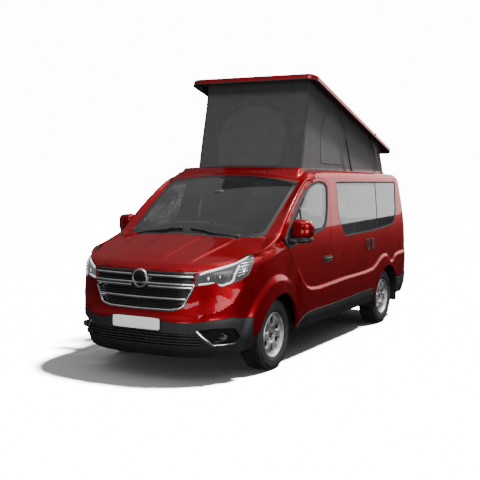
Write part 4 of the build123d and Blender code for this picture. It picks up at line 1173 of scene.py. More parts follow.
@dataclass
class Mirrors:
    """Door mirrors: coloured cap, black foot and arm, and glass."""

    centre: tuple = (1056.0, -1215.0, 1332.0)
    half: tuple = (103.0, 86.0, 116.0)

    def build(self, side: Side) -> None:
        """Make one mirror on its door.

        Args:
            side: side of the van.
        """
        s, word = side.value, side.name.lower()
        x, y, z = self.centre
        hx, hy, hz = self.half

        def hollow(q: list[float]) -> list[float]:
            """Flatten the rear and lean the outer edge back."""
            back = min(q[1], 0.18)
            return [q[0], back + 0.30 * max(0.0, q[0] * s) ** 2 + 0.10 * (1 - abs(q[2])), q[2] * (1 - 0.10 * q[0] * s)]

        cap = Shape()
        soft_block(cap, (s * x, y, z + 22), (hx, hy, hz - 18), 3.4, 26, squeeze=hollow)
        fit(cap.mesh(f"mirror_cap_{word}", tidy=True, sharp=60), f"door_{word}", Finishes.PAINT, f"mirror_{word}")
        foot = Shape()
        soft_block(foot, (s * (x - 3), y + 3, z - 78), (hx - 4, hy - 8, 34), 3.2, 22, squeeze=hollow)
        soft_block(foot, (s * 985, -1290, 1244), (62, 44, 24), 3.0, 16)
        soft_block(foot, (s * 948, -1330, 1250), (16, 62, 40), 3.0, 14)
        fit(foot.mesh(f"mirror_foot_{word}", tidy=True), f"door_{word}", Finishes.TRIM)
        face = Shape()
        soft_block(face, (s * x, y + 12, z + 28), (hx - 12, 14, hz - 34), 6, 14)
        fit(face.mesh(f"mirror_face_{word}", tidy=True), f"door_{word}", Finishes.MIRROR)


@dataclass
class SideWalls:
    """Side walls behind the cab doors, with wings, sills, windows and ports."""

    window: tuple = ((15, 1795), (40, 1811), (700, 1810), (2030, 1800), (2052, 1766), (2001, 1645), (1945, 1441),
                     (1850, 1285), (1790, 1260), (1464, 1240), (981, 1214), (536, 1210), (160, 1203), (110, 1220),
                     (57, 1285), (-5, 1397), (-10, 1507))
    sill: tuple = ((-1100, 345), (-1085, 368), (-1047, 402), (-1000, 440), (-930, 474), (-819, 489), (-578, 486),
                   (165, 496), (574, 510), (1004, 512), (1040, 470), (1085, 400), (1110, 345))
    wing: tuple = ((-2030, 560), (-2040, 700), (-2040, 860), (-2024, 960), (-1990, 1060), (-1950, 1160),
                   (-1862, 1172), (-1700, 1200), (-1500, 1258), (-1466, 1258), (-1352, 1160), (-1290, 1046),
                   (-1225, 896), (-1165, 700), (-1128, 545))
    ports: tuple = ((842, 1062, 46), (1010, 1062, 46))

    def arch(self, centre: tuple[float, float], radius: float, start: float, end: float) -> list:
        """Points of a wheel opening."""
        return circle_run(centre, radius, start, end, 44)

    def build(self, side: Side) -> None:
        """Make one wall with its wing, sill and windows.

        Args:
            side: side of the van.
        """
        word, facing = side.name.lower(), Facing[side.name]
        door = CabDoors().outline
        behind = [p for p in door[::-1][:10]]
        over = [p for p in door[::-1][10:12]]
        flank = [(-343, 506)] + [(u, v) for u, v in behind[1:]] + over
        flank += [(-437, 1905), (400, 1908), (1500, 1895), (2280, 1868), (2470, 1856), (2470, 640), (2300, 565)]
        flank += self.arch(REAR_AXLE, REAR_ARCH, 33, 180)[1:] + [(1112, 352), (1090, 420), (1046, 486), (1008, 520),
                                                                 (574, 518), (165, 504), (-343, 495)]
        skin = Shape()
        window = rounded(self.window, 34)
        skin_patch(skin, facing, flank, [window], depth=18, pitch=17, edge_pitch=15)
        fit(skin.mesh(f"flank_skin_{word}"), "body", Finishes.PAINT, f"side_{word}")
        lining = Shape()
        skin_patch(lining, facing, flank[:-2] + [(-343, 400)], [window], inset=21, depth=0, pitch=40)
        fit(lining.mesh(f"flank_lining_{word}"), "body", Finishes.CABIN)
        wing = Shape()
        outline = list(self.wing) + [(-1122, 505), (-1135, 440), (-1118, 352)]
        outline += self.arch(FRONT_AXLE, FRONT_ARCH, 1, 168)[1:] + [(-1992, 430), (-2030, 452)]
        skin_patch(wing, facing, outline, depth=22, pitch=14, edge_pitch=12)
        fit(wing.mesh(f"wing_skin_{word}"), "body", Finishes.PAINT)
        corner = Shape()
        skin_patch(corner, facing, [(-1120, 503), (-345, 503), (-343, 493), (-578, 484), (-819, 486), (-930, 470),
                                    (-1000, 436), (-1047, 398), (-1085, 364), (-1098, 340), (-1120, 340)],
                   inset=-0.5, depth=16, pitch=14)
        fit(corner.mesh(f"sill_corner_{word}"), "body", Finishes.PAINT)
        liner = Shape()
        turns = np.radians(np.linspace(-14, 194, 64))
        rows = [[(side.value * x, REAR_AXLE[0] + (REAR_ARCH + 3) * math.cos(t),
                  REAR_AXLE[1] + (REAR_ARCH + 3) * math.sin(t)) for t in turns] for x in (966, 900, 812)]
        liner.grid(rows if side is Side.RIGHT else rows[::-1])
        fit(liner.mesh(f"arch_liner_{word}"), "body", Finishes.TRIM)
        sill = Shape()
        skin_patch(sill, facing, self.sill, inset=-9, depth=30, pitch=16)
        bottom = [(-1100, 330), (1110, 330), (1110, 347), (-1100, 347)]
        skin_patch(sill, facing, bottom, inset=2, depth=26, pitch=16)
        fit(sill.mesh(f"sill_cover_{word}"), "body", Finishes.TRIM, "sill_trims")
        self.pillar(side)
        self.windows(side)
        self.port(side)
        self.filler(side)

    def pillar(self, side: Side) -> None:
        """Screen pillar and front roof corner, one smooth band between the screen and the door.

        Args:
            side: side of the van.
        """
        low = np.array([(-1900, 1168), (-1862, 1175), (-1700, 1204), (-1600, 1231), (-1500, 1262), (-1450, 1286),
                        (-1438, 1298), (-1330, 1408), (-1228, 1493),
                        (-1075, 1608), (-908, 1723), (-800, 1786), (-700, 1830), (-575, 1858), (-437, 1868),
                        (-400, 1867)], float)
        screen = np.array([(-1900, 914), (-1868, 905), (-1760, 886), (-1592, 829), (-1530, 804), (-1480, 787),
                           (-1200, 790), (-760, 785), (-700, 800),
                           (-500, 838), (-400, 842)], float)
        y = np.linspace(-1880, -425, 124)
        foot, foot_normal = FORM.place(Facing.LEFT, np.stack([y, np.interp(y, low[:, 0], low[:, 1])], 1), -2.5)
        head, head_normal = FORM.place(Facing.TOP, np.stack([np.interp(y, screen[:, 0], screen[:, 1]), y], 1), -2.5)
        reach = np.linalg.norm(foot - head, axis=1)[:, None] * 1.25
        zero = np.zeros(len(y))
        leave = np.stack([head_normal[:, 2], zero, -0.5 * head_normal[:, 0]], 1)
        arrive = np.stack([foot_normal[:, 2], zero, -foot_normal[:, 0]], 1)
        leave, arrive = leave / np.linalg.norm(leave, axis=1)[:, None], arrive / np.linalg.norm(arrive, axis=1)[:, None]
        lines = []
        for t in np.linspace(0, 1, 17):
            lines.append((1 + 2 * t) * (1 - t) ** 2 * head + t * (1 - t) ** 2 * reach * leave
                         + t * t * (3 - 2 * t) * foot + t * t * (t - 1) * reach * arrive)
        lines = [lines[0] + (2, 0, -16)] + lines + [lines[-1] + (-18, 0, 2)]
        rows = [[(side.value * line[k][0], line[k][1], line[k][2]) for line in lines] for k in range(len(y))]
        band = Shape()
        band.grid(rows if side is Side.LEFT else [row[::-1] for row in rows])
        fit(band.mesh(f"screen_pillar_{side.name.lower()}", sharp=55), "body", Finishes.PAINT)
        inner = Shape()
        rows = [[(a - side.value * 26, b, c - 22) for a, b, c in row[1:-1]] for row in rows]
        inner.grid(rows[::-1] if side is Side.LEFT else [row[::-1] for row in rows[::-1]])
        fit(inner.mesh(f"pillar_lining_{side.name.lower()}"), "body", Finishes.CABIN)

    def windows(self, side: Side) -> None:
        """Side window: black band, front clear pane, rear dark pane.

        Args:
            side: side of the van.
        """
        word, facing = side.name.lower(), Facing[side.name]
        tools = CabDoors()
        outer = rounded(self.window, 34)
        inner = rounded(tools.shrunk(self.window, 15), 30)
        band = Shape()
        skin_patch(band, facing, outer, [inner], inset=1.5, depth=6, pitch=12, lip=-0.5)
        points, normals = on_body(facing, outer, 16, 0.5, True)
        bar_along(band, points, normals, 8, 3, True)
        points, normals = on_body(facing, [(1298, 1798), (1196, 1232)], 16, 3.5)
        bar_along(band, points, normals, 16, 3)
        fit(band.mesh(f"side_window_band_{word}"), "body", Finishes.SEAL)
        split_top, split_foot = (1299, 1797), (1195, 1226)
        order = [(15, 1795), (40, 1811), (700, 1810), split_top, split_foot, (981, 1214), (536, 1210), (160, 1203),
                 (110, 1220), (57, 1285), (-5, 1397), (-10, 1507)]
        rear = [split_top, (2030, 1800), (2052, 1766), (2001, 1645), (1945, 1441), (1850, 1285), (1790, 1260),
                (1464, 1240), split_foot]
        pane = Shape()
        skin_patch(pane, facing, order, inset=4.5, depth=0, pitch=34)
        fit(pane.mesh(f"side_pane_front_{word}"), "body", Finishes.PANE, "side_glass")
        dark = Shape()
        skin_patch(dark, facing, rear, inset=4.0, depth=0, pitch=34)
        fit(dark.mesh(f"side_pane_rear_{word}"), "body", Finishes.DARK_PANE, "side_glass")

    def port(self, side: Side) -> None:
        """Hook-up ports: two rounded covers each ringed by a raised rim, with slats across the first."""
        word, facing = side.name.lower(), Facing[side.name]
        covers = Shape()
        for (y, z, radius), wide in zip(self.ports, (1.0, 1.0)):
            outline = rounded([(y - radius * wide, z - 68), (y + radius * wide, z - 68), (y + radius * wide, z + 68),
                               (y - radius * wide, z + 68)], 30, 6)
            skin_patch(covers, facing, outline, inset=-7, depth=10, pitch=9)
            points, normals = on_body(facing, CabDoors().shrunk(outline, 9), 8, -7, True)
            bar_along(covers, points, normals, 5, 4, True)
        fit(covers.mesh(f"port_covers_{word}"), "body", Finishes.TRIM if side is Side.LEFT else Finishes.TRIM_LIGHT)
        points, normals = on_body(facing, [(812, 1062), (872, 1062)], 6, -7)
        slats = REPEAT.along(f"port_slats_{word}", points, normals, 12, (4, 70, 7), Finishes.TRIM_LIGHT)
        fit(slats, "body", Finishes.TRIM_LIGHT)

    def filler(self, side: Side) -> None:
        """Sliding door rail and seam on the right, fuel flap on the left.

        Args:
            side: side of the van.
        """
        facing, word = Facing[side.name], side.name.lower()
        seam = Shape()
        if side is Side.RIGHT:
            path = [(-262, 560), (-250, 1378), (-140, 1805), (-95, 1846), (1000, 1846), (1046, 1805), (1050, 1240),
                    (1096, 900), (1060, 560)]
            points, normals = on_body(facing, path, 14, -0.5)
            bar_along(seam, points, normals, 7, 1.6)
            points, normals = on_body(facing, [(1100, 1120), (2250, 1120)], 20, -1.0)
            bar_along(seam, points, normals, 34, 6, crown=0.2)
        else:
            points, normals = on_body(facing, rounded([(-180, 1010), (-20, 1010), (-20, 1170), (-180, 1170)], 30), 12,
                                      -0.5, True)
            bar_along(seam, points, normals, 4, 1.4, True)
        fit(seam.mesh(f"flank_seams_{word}"), "body", Finishes.SEAL)


@dataclass
class Upperworks:
    """Bonnet, cowl, windscreen and roof."""

    scuttle: tuple = ((0, -1740), (300, -1728), (560, -1690), (815, -1590))
    edge: tuple = ((872, -1760), (892, -1861), (871, -1960), (830, -2078), (782, -2180), (723, -2262), (646, -2335),
                   (541, -2405), (300, -2448), (0, -2462))
    foot: tuple = ((790, -1500), (560, -1628), (300, -1672), (0, -1686))

    def build(self) -> None:
        """Make all upper skins."""
        bonnet = Shape()
        half = list(self.scuttle) + list(self.edge)
        outline = half + [(-a, b) for a, b in half[-2:0:-1]]
        skin_patch(bonnet, Facing.TOP, outline, depth=16, pitch=15, edge_pitch=12)
        fit(bonnet.mesh("bonnet_skin"), "bonnet", Finishes.PAINT)
        pad = Shape()
        inner = CabDoors().shrunk(outline, 70)
        skin_patch(pad, Facing.TOP, inner, inset=36, depth=0, pitch=40)
        pad.faces = [f[::-1] for f in pad.faces]
        pad.leans = [None] * len(pad.leans)
        fit(pad.mesh("bonnet_pad"), "bonnet", Finishes.TRIM)
        cowl = Shape()
        back = [(a, b + 9) for a, b in self.scuttle] + list(self.foot)
        outline = back + [(-a, b) for a, b in back[::-1]][1:-1]
        skin_patch(cowl, Facing.TOP, outline, inset=1.0, depth=12, pitch=14)
        fit(cowl.mesh("cowl_cover"), "body", Finishes.TRIM)
        points, normals = on_body(Facing.TOP, [(-600, -1660), (-300, -1702), (0, -1716), (300, -1702), (600, -1660)],
                                  10, 0.5)
        fit(REPEAT.along("cowl_louvres", points, normals, 16, (5, 30, 6), Finishes.TRIM_LIGHT), "body",
            Finishes.TRIM_LIGHT)
        self.screen()
        self.roof()
        self.wipers()

    def screen(self) -> None:
        """Windscreen pane and its black border."""
        plan = [(-790, -1500), (-560, -1628), (-300, -1672), (0, -1686), (300, -1672), (560, -1628), (790, -1500),
                (800, -1200), (786, -742), (500, -742), (0, -742), (-500, -742), (-786, -742), (-800, -1200)]
        pane, border = Shape(), Shape()
        skin_patch(pane, Facing.TOP, rounded(plan, 40), inset=0.5, depth=5, pitch=28)
        fit(pane.mesh("windscreen_pane"), "body", Finishes.SCREEN, "windscreen")
        inner = CabDoors().shrunk(plan, 38)
        skin_patch(border, Facing.TOP, rounded(plan, 40), [rounded(inner, 60)], inset=-0.4, depth=0, pitch=16)
        points, normals = on_body(Facing.TOP, rounded(plan, 40), 18, 0.0, True)
        bar_along(border, points, normals, 9, 3, True)
        fit(border.mesh("windscreen_border"), "body", Finishes.GLOSS)
        foot = Shape()
        soft_block(foot, (0, -1010, 1700), (60, 60, 26), 3, 14)
        soft_block(foot, (0, -1020, 1625), (118, 16, 34), 4, 14)
        tube(foot, [(0, -1000, 1690), (0, -1015, 1640)], 9)
        fit(foot.mesh("cabin_mirror", tidy=True), "body", Finishes.CABIN)

    def roof(self) -> None:
        """Roof skin with its opening, and the edge mouldings."""
        skin = Shape()
        outline = [(-780, -742), (-400, -742), (0, -742), (400, -742), (780, -742), (812, -690), (842, -500),
                   (846, 400), (842, 1500), (836, 2290), (806, 2352), (500, 2362), (-500, 2362), (-806, 2352),
                   (-836, 2290), (-842, 1500), (-846, 400), (-842, -500), (-812, -690)]
        well = rounded([(-612, -362), (612, -362), (612, 2242), (-612, 2242)], 40)
        skin_patch(skin, Facing.TOP, outline, [well], depth=10, pitch=17)
        fit(skin.mesh("roof_skin"), "body", Finishes.PAINT)
        lines = Shape()
        for s in (-1, 1):
            path = [(s * 806, -560), (s * 812, 0), (s * 812, 900), (s * 806, 1600), (s * 798, 2300)]
            points, normals = on_body(Facing.TOP, path, 20, -1)
            bar_along(lines, points, normals, 12, 3)
        fit(lines.mesh("roof_channels"), "body", Finishes.SEAL)

    def wipers(self) -> None:
        """Two wiper arms with blades lying on the screen."""
        arms = Shape()
        for x0, x1 in ((575, 30), (-60, -640)):
            path = np.array([(x0 + (x1 - x0) * t, -1648 - 16 * math.sin(math.pi * t) + 30 * t * (1 if x1 < -500 else 0))
                             for t in np.linspace(0, 1, 24)])
            points, normals = FORM.place(Facing.TOP, path, -4)
            bar_along(arms, points, normals, 9, 13, sink=3)
            lift = points[4:] + normals[4:] * 15
            tube(arms, [tuple(p) for p in lift[:-6]], 4.5, 8)
            soft_block(arms, tuple(points[1] + normals[1] * 10), (16, 16, 14), 3, 8)
        fit(arms.mesh("wiper_arms"), "body", Finishes.TRIM, "wipers")
        rod = Shape()
        tube(rod, [(-845, -1600, 1244), (-845, -1602, 1290), (-845, -1617, 1572)], [9, 4, 2.2], 10)
        fit(rod.mesh("aerial_rod"), "body", Finishes.TRIM, "aerial")


@dataclass
class Face:
    """Front bumper, grille, headlamps, lower intake and plate."""

    grille: tuple = ((-546, 900), (-546, 1004), (0, 1010), (546, 1004), (546, 900), (526, 844), (494, 785), (452, 706),
                     (416, 684), (331, 668), (0, 664), (-331, 668), (-416, 684), (-452, 706), (-494, 785),
                     (-526, 844))
    lamp: tuple = ((556, 893), (552, 980), (574, 1008), (646, 1036), (723, 1063), (782, 1087), (830, 1113),
                   (868, 1140), (893, 1164), (912, 1128), (922, 1062), (918, 985), (889, 948), (835, 915), (754, 886),
                   (718, 926), (661, 909), (600, 896))
    frontier: tuple = ((0, 592), (262, 576), (473, 562), (618, 578), (767, 601), (842, 615), (872, 600))

    def build(self) -> None:
        """Make the whole face."""
        self.bumper()
        self.bars()
        for side in Side:
            self.headlamp(side)
        self.plate()

    def bumper(self) -> None:
        """Painted upper skin and grained lower skin."""
        edge = {}
        for z in (560, 700, 860, 960, 1060, 1150):
            y = {560: -2034, 700: -2046, 860: -2046, 960: -2030, 1060: -1996, 1150: -1957}[z]
            points, _ = FORM.place(Facing.LEFT, np.array([(y, z)]))
            edge[z] = 1030 * math.atan2(points[0, 0], -1500 - points[0, 1])
        grille = FORM.nose_place(self.grille)
        lamp = FORM.nose_place(self.lamp)
        top = FORM.nose_place([(880, 1156), (830, 1118), (782, 1092), (723, 1069), (646, 1042), (560, 1016),
                               (300, 1020), (0, 1022)])
        low = FORM.nose_place(self.frontier)
        right = [(edge[560], 598), (edge[700], 700), (edge[860], 860), (edge[960], 960), (edge[1060], 1060),
                 (edge[1150], 1148)]
        outline = [(u, v) for u, v in low] + right + top
        outline = outline + [(-u, v) for u, v in outline[-2:0:-1]]
        skin = Shape()
        holes = [grille, lamp, [(-u, v) for u, v in lamp]]
        skin_patch(skin, Facing.NOSE, outline, holes, depth=20, pitch=14, edge_pitch=12)
        fit(skin.mesh("bumper_skin"), "body", Finishes.PAINT, "front_bumper")
        points, _ = FORM.place(Facing.LEFT, np.array([(-2030, 452), (-1992, 400), (-1972, 300)]))
        low_edge = [(1030 * math.atan2(p[0], -1500 - p[1]), p[2]) for p in points]
        foot = FORM.nose_place([(0, 240), (400, 236), (640, 244), (800, 268)])
        outline = [(u, v - 5) for u, v in low] + [(edge[560], 592)] + low_edge
        outline += [(u, v) for u, v in foot[::-1]]
        outline = outline + [(-u, v) for u, v in outline[-2:0:-1]]
        mouth = FORM.nose_place([(-600, 352), (-618, 410), (-580, 462), (0, 470), (580, 462), (618, 410), (600, 352),
                                 (0, 345)])
        pit = FORM.nose_place([(600, 500), (700, 372), (835, 352), (872, 420), (850, 512), (720, 520)])
        lower = Shape()
        skin_patch(lower, Facing.NOSE, outline, [mouth, rounded(pit, 24), [(-u, v) for u, v in rounded(pit, 24)]],
                   inset=1.5, depth=26, pitch=15, edge_pitch=12)
        fit(lower.mesh("bumper_lower"), "body", Finishes.TRIM, "front_bumper")
        back = Shape()
        skin_patch(back, Facing.NOSE, CabDoors().shrunk(mouth, -6), inset=34, depth=0, pitch=30)
        for flip in (1, -1):
            skin_patch(back, Facing.NOSE, [(flip * u, v) for u, v in CabDoors().shrunk(rounded(pit, 24), -6)],
                       inset=30, depth=0, pitch=20)
        fit(back.mesh("intake_back"), "body", Finishes.GLOSS)
        fins = Shape()
        for z in (372, 398, 424, 450):
            points, normals = on_body(Facing.FRONT, [(-606, z), (0, z), (606, z)], 22, 12)
            bar_along(fins, points, normals, 9, 8, sink=16)
        fit(fins.mesh("intake_fins"), "body", Finishes.TRIM)
        points, normals = on_body(Facing.FRONT, [(-590, 411), (590, 411)], 20, 26)
        fit(REPEAT.along("intake_struts", points, normals, 98, (7, 96, 14), Finishes.TRIM), "body", Finishes.TRIM)
        self.fog()

    def fog(self) -> None:
        """Fog lamps in their pits with bright corner strips."""
        bright, lamps, lenses = Shape(), Shape(), Shape()
        for s in (1, -1):
            strip = [(s * 588, 490), (s * 640, 428), (s * 702, 358), (s * 835, 364)]
            points, normals = on_body(Facing.FRONT, strip[:3], 10, -2)
            bar_along(bright, points, normals, 26, 7)
            points, normals = on_body(Facing.FRONT, strip[2:], 10, -2)
            bar_along(bright, points, normals, 14, 6)
            centre, n = FORM.place(Facing.FRONT, np.array([(s * 768, 424)]), 18)
            soft_block(lamps, centre[0], (46, 22, 34), 3, 12)
            soft_block(lenses, centre[0] + n[0] * 12, (30, 18, 22), 2.4, 12)
        fit(bright.mesh("fog_strips"), "body", Finishes.CHROME)
        fit(lamps.mesh("fog_bodies", tidy=True), "body", Finishes.GLOSS)
        fit(lenses.mesh("fog_lenses", tidy=True), "body", Finishes.LENS)

    def bars(self) -> None:
        """Grille back, bright frame and bars, dark slats and the bare round badge seat."""
        back = Shape()
        skin_patch(back, Facing.FRONT, CabDoors().shrunk(self.grille, -8), inset=30, depth=0, pitch=26)
        fit(back.mesh("grille_back"), "body", Finishes.GLOSS, "grille")
        frame_bars = Shape()
        low = [p for p in self.grille if p[1] < 1000]
        points, normals = on_body(Facing.FRONT, low, 12, 0.0)
        bar_along(frame_bars, points, normals, 19, 9, sink=20)
        for z, wide, gap in ((972, 536, 92), (871, 528, 92), (768, 470, 0)):
            spans = [(-wide, -gap), (gap, wide)] if gap else [(-wide, wide)]
            for a, b in spans:
                points, normals = on_body(Facing.FRONT, [(a, z), ((a + b) / 2, z - (0 if gap else 4)), (b, z)], 16, 4)
                bar_along(frame_bars, points, normals, 20, 9, sink=20)
        fit(frame_bars.mesh("grille_bars"), "body", Finishes.CHROME)
        slats = Shape()
        for z, wide in ((924, 540), (898, 536), (846, 520), (820, 508), (796, 492), (742, 462), (716, 448), (692, 410)):
            points, normals = on_body(Facing.FRONT, [(-wide, z), (0, z), (wide, z)], 20, 14)
            bar_along(slats, points, normals, 9, 9, sink=18)
        points, normals = on_body(Facing.FRONT, [(-540, 996), (0, 1000), (540, 996)], 18, 2)
        bar_along(slats, points, normals, 22, 4, sink=18)
        fit(slats.mesh("grille_slats"), "body", Finishes.GLOSS)
        cap = Shape()
        skin_patch(cap, Facing.NOSE, FORM.nose_place([(-548, 998), (548, 998), (556, 1015), (0, 1016), (-556, 1015)]),
                   inset=-2.5, depth=8, pitch=14)
        fit(cap.mesh("grille_cap"), "body", Finishes.GLOSS)
        seat, ring = Shape(), Shape()
        centre, _ = FORM.place(Facing.FRONT, np.array([(0.0, 938.0)]), 6)
        rows = []
        for r, h in ((0.01, 15), (40, 15), (62, 12), (76, 8), (84, 0), (84, -22)):
            rows.append([(r * math.cos(a), centre[0, 1] - h, 938 + r * math.sin(a))
                         for a in (2 * math.pi * k / 48 for k in range(48))])
        seat.grid(rows[::-1], around=True)
        fit(seat.mesh("badge_seat", tidy=True), "body", Finishes.GLOSS)
        rows = []
        for r, h in ((70, 9), (72, 14), (80, 15), (86, 12), (88, 2), (88, -20)):
            rows.append([(r * math.cos(a), centre[0, 1] - h, 938 + r * math.sin(a))
                         for a in (2 * math.pi * k / 64 for k in range(64))])
        ring.grid(rows[::-1], around=True)
        fit(ring.mesh("badge_ring"), "body", Finishes.SATIN)

    def headlamp(self, side: Side) -> None:
        """One headlamp: dish, light guide, reflectors, bright louvres and lens.

        Args:
            side: side of the van.
        """
        s, word = side.value, side.name.lower()
        tools = CabDoors()
        flat = [(s * u, v) for u, v in FORM.nose_place(self.lamp)]
        bowl = Shape()
        skin_patch(bowl, Facing.NOSE, tools.shrunk(flat, -4), inset=46, depth=0, pitch=16)
        rim_out, n = FORM.place(Facing.NOSE, divided(tools.shrunk(flat, -2), 10), 2)
        rim_in, _ = FORM.place(Facing.NOSE, divided(tools.shrunk(flat, -2), 10), 46)
        rows = [list(rim_out) + [rim_out[0]], list(rim_in) + [rim_in[0]]]
        bowl.grid(rows)
        fit(bowl.mesh(f"lamp_bowl_{word}"), "body", Finishes.GLOSS, "headlamps")
        guide = Shape()
        upper = FORM.nose_place([(592, 996), (646, 1021), (723, 1046), (782, 1068), (830, 1092), (862, 1118),
                                 (882, 1144)])
        lower = FORM.nose_place([(584, 906), (640, 914), (700, 920), (738, 902), (770, 900), (822, 924), (838, 945),
                                 (846, 1000), (852, 1070)])
        for path, width in ((upper, 17), (lower, 15)):
            points, normals = on_body(Facing.NOSE, [(s * u, v) for u, v in path], 9, 8)
            bar_along(guide, points, normals, width, 8, sink=10)
        fit(guide.mesh(f"lamp_guide_{word}"), "body", Finishes.GUIDE)
        louvres = Shape()
        for z in (1118, 1092, 1066, 1040, 1014, 988):
            ends = FORM.nose_place([(862, z - 10), (908 if z > 1000 else 900, z + 6)])
            points, normals = on_body(Facing.NOSE, [(s * u, v) for u, v in ends], 8, 12)
            bar_along(louvres, points, normals, 9, 8, sink=12)
        fit(louvres.mesh(f"lamp_louvres_{word}"), "body", Finishes.CHROME)
        cups, bulbs = Shape(), Shape()
        for x, z in ((668, 962), (752, 976)):
            uv = np.array([(s * FORM.nose_place([(x, z)])[0][0], z)])
            p, n = FORM.place(Facing.NOSE, uv, 30)
            soft_block(cups, p[0], (34, 26, 30), 3.4, 12)
            soft_block(bulbs, p[0] + n[0] * 20, (11, 12, 17), 2.6, 10)
        fit(cups.mesh(f"lamp_beam_cups_{word}", tidy=True), "body", Finishes.TRIM_LIGHT)
        fit(bulbs.mesh(f"lamp_beam_{word}", tidy=True), "body", Finishes.GUIDE)
        lens = Shape()
        skin_patch(lens, Facing.NOSE, tools.shrunk(flat, 1), inset=-1, depth=12, pitch=18)
        fit(lens.mesh(f"lamp_lens_{word}"), "body", Finishes.LENS)

    def plate(self) -> None:
        """Bare number plate on its holder."""
        plate, holder = Shape(), Shape()
        y = -2541.0
        soft_block(holder, (0, y + 4, 541), (268, 9, 61), 14, 12)
        soft_block(plate, (0, y - 3, 541), (258, 5, 54), 16, 12)
        fit(holder.mesh("plate_holder", tidy=True), "body", Finishes.TRIM)
        fit(plate.mesh("plate_front", tidy=True), "body", Finishes.PLATE)


# ---------------------------------------------------------------- wheels


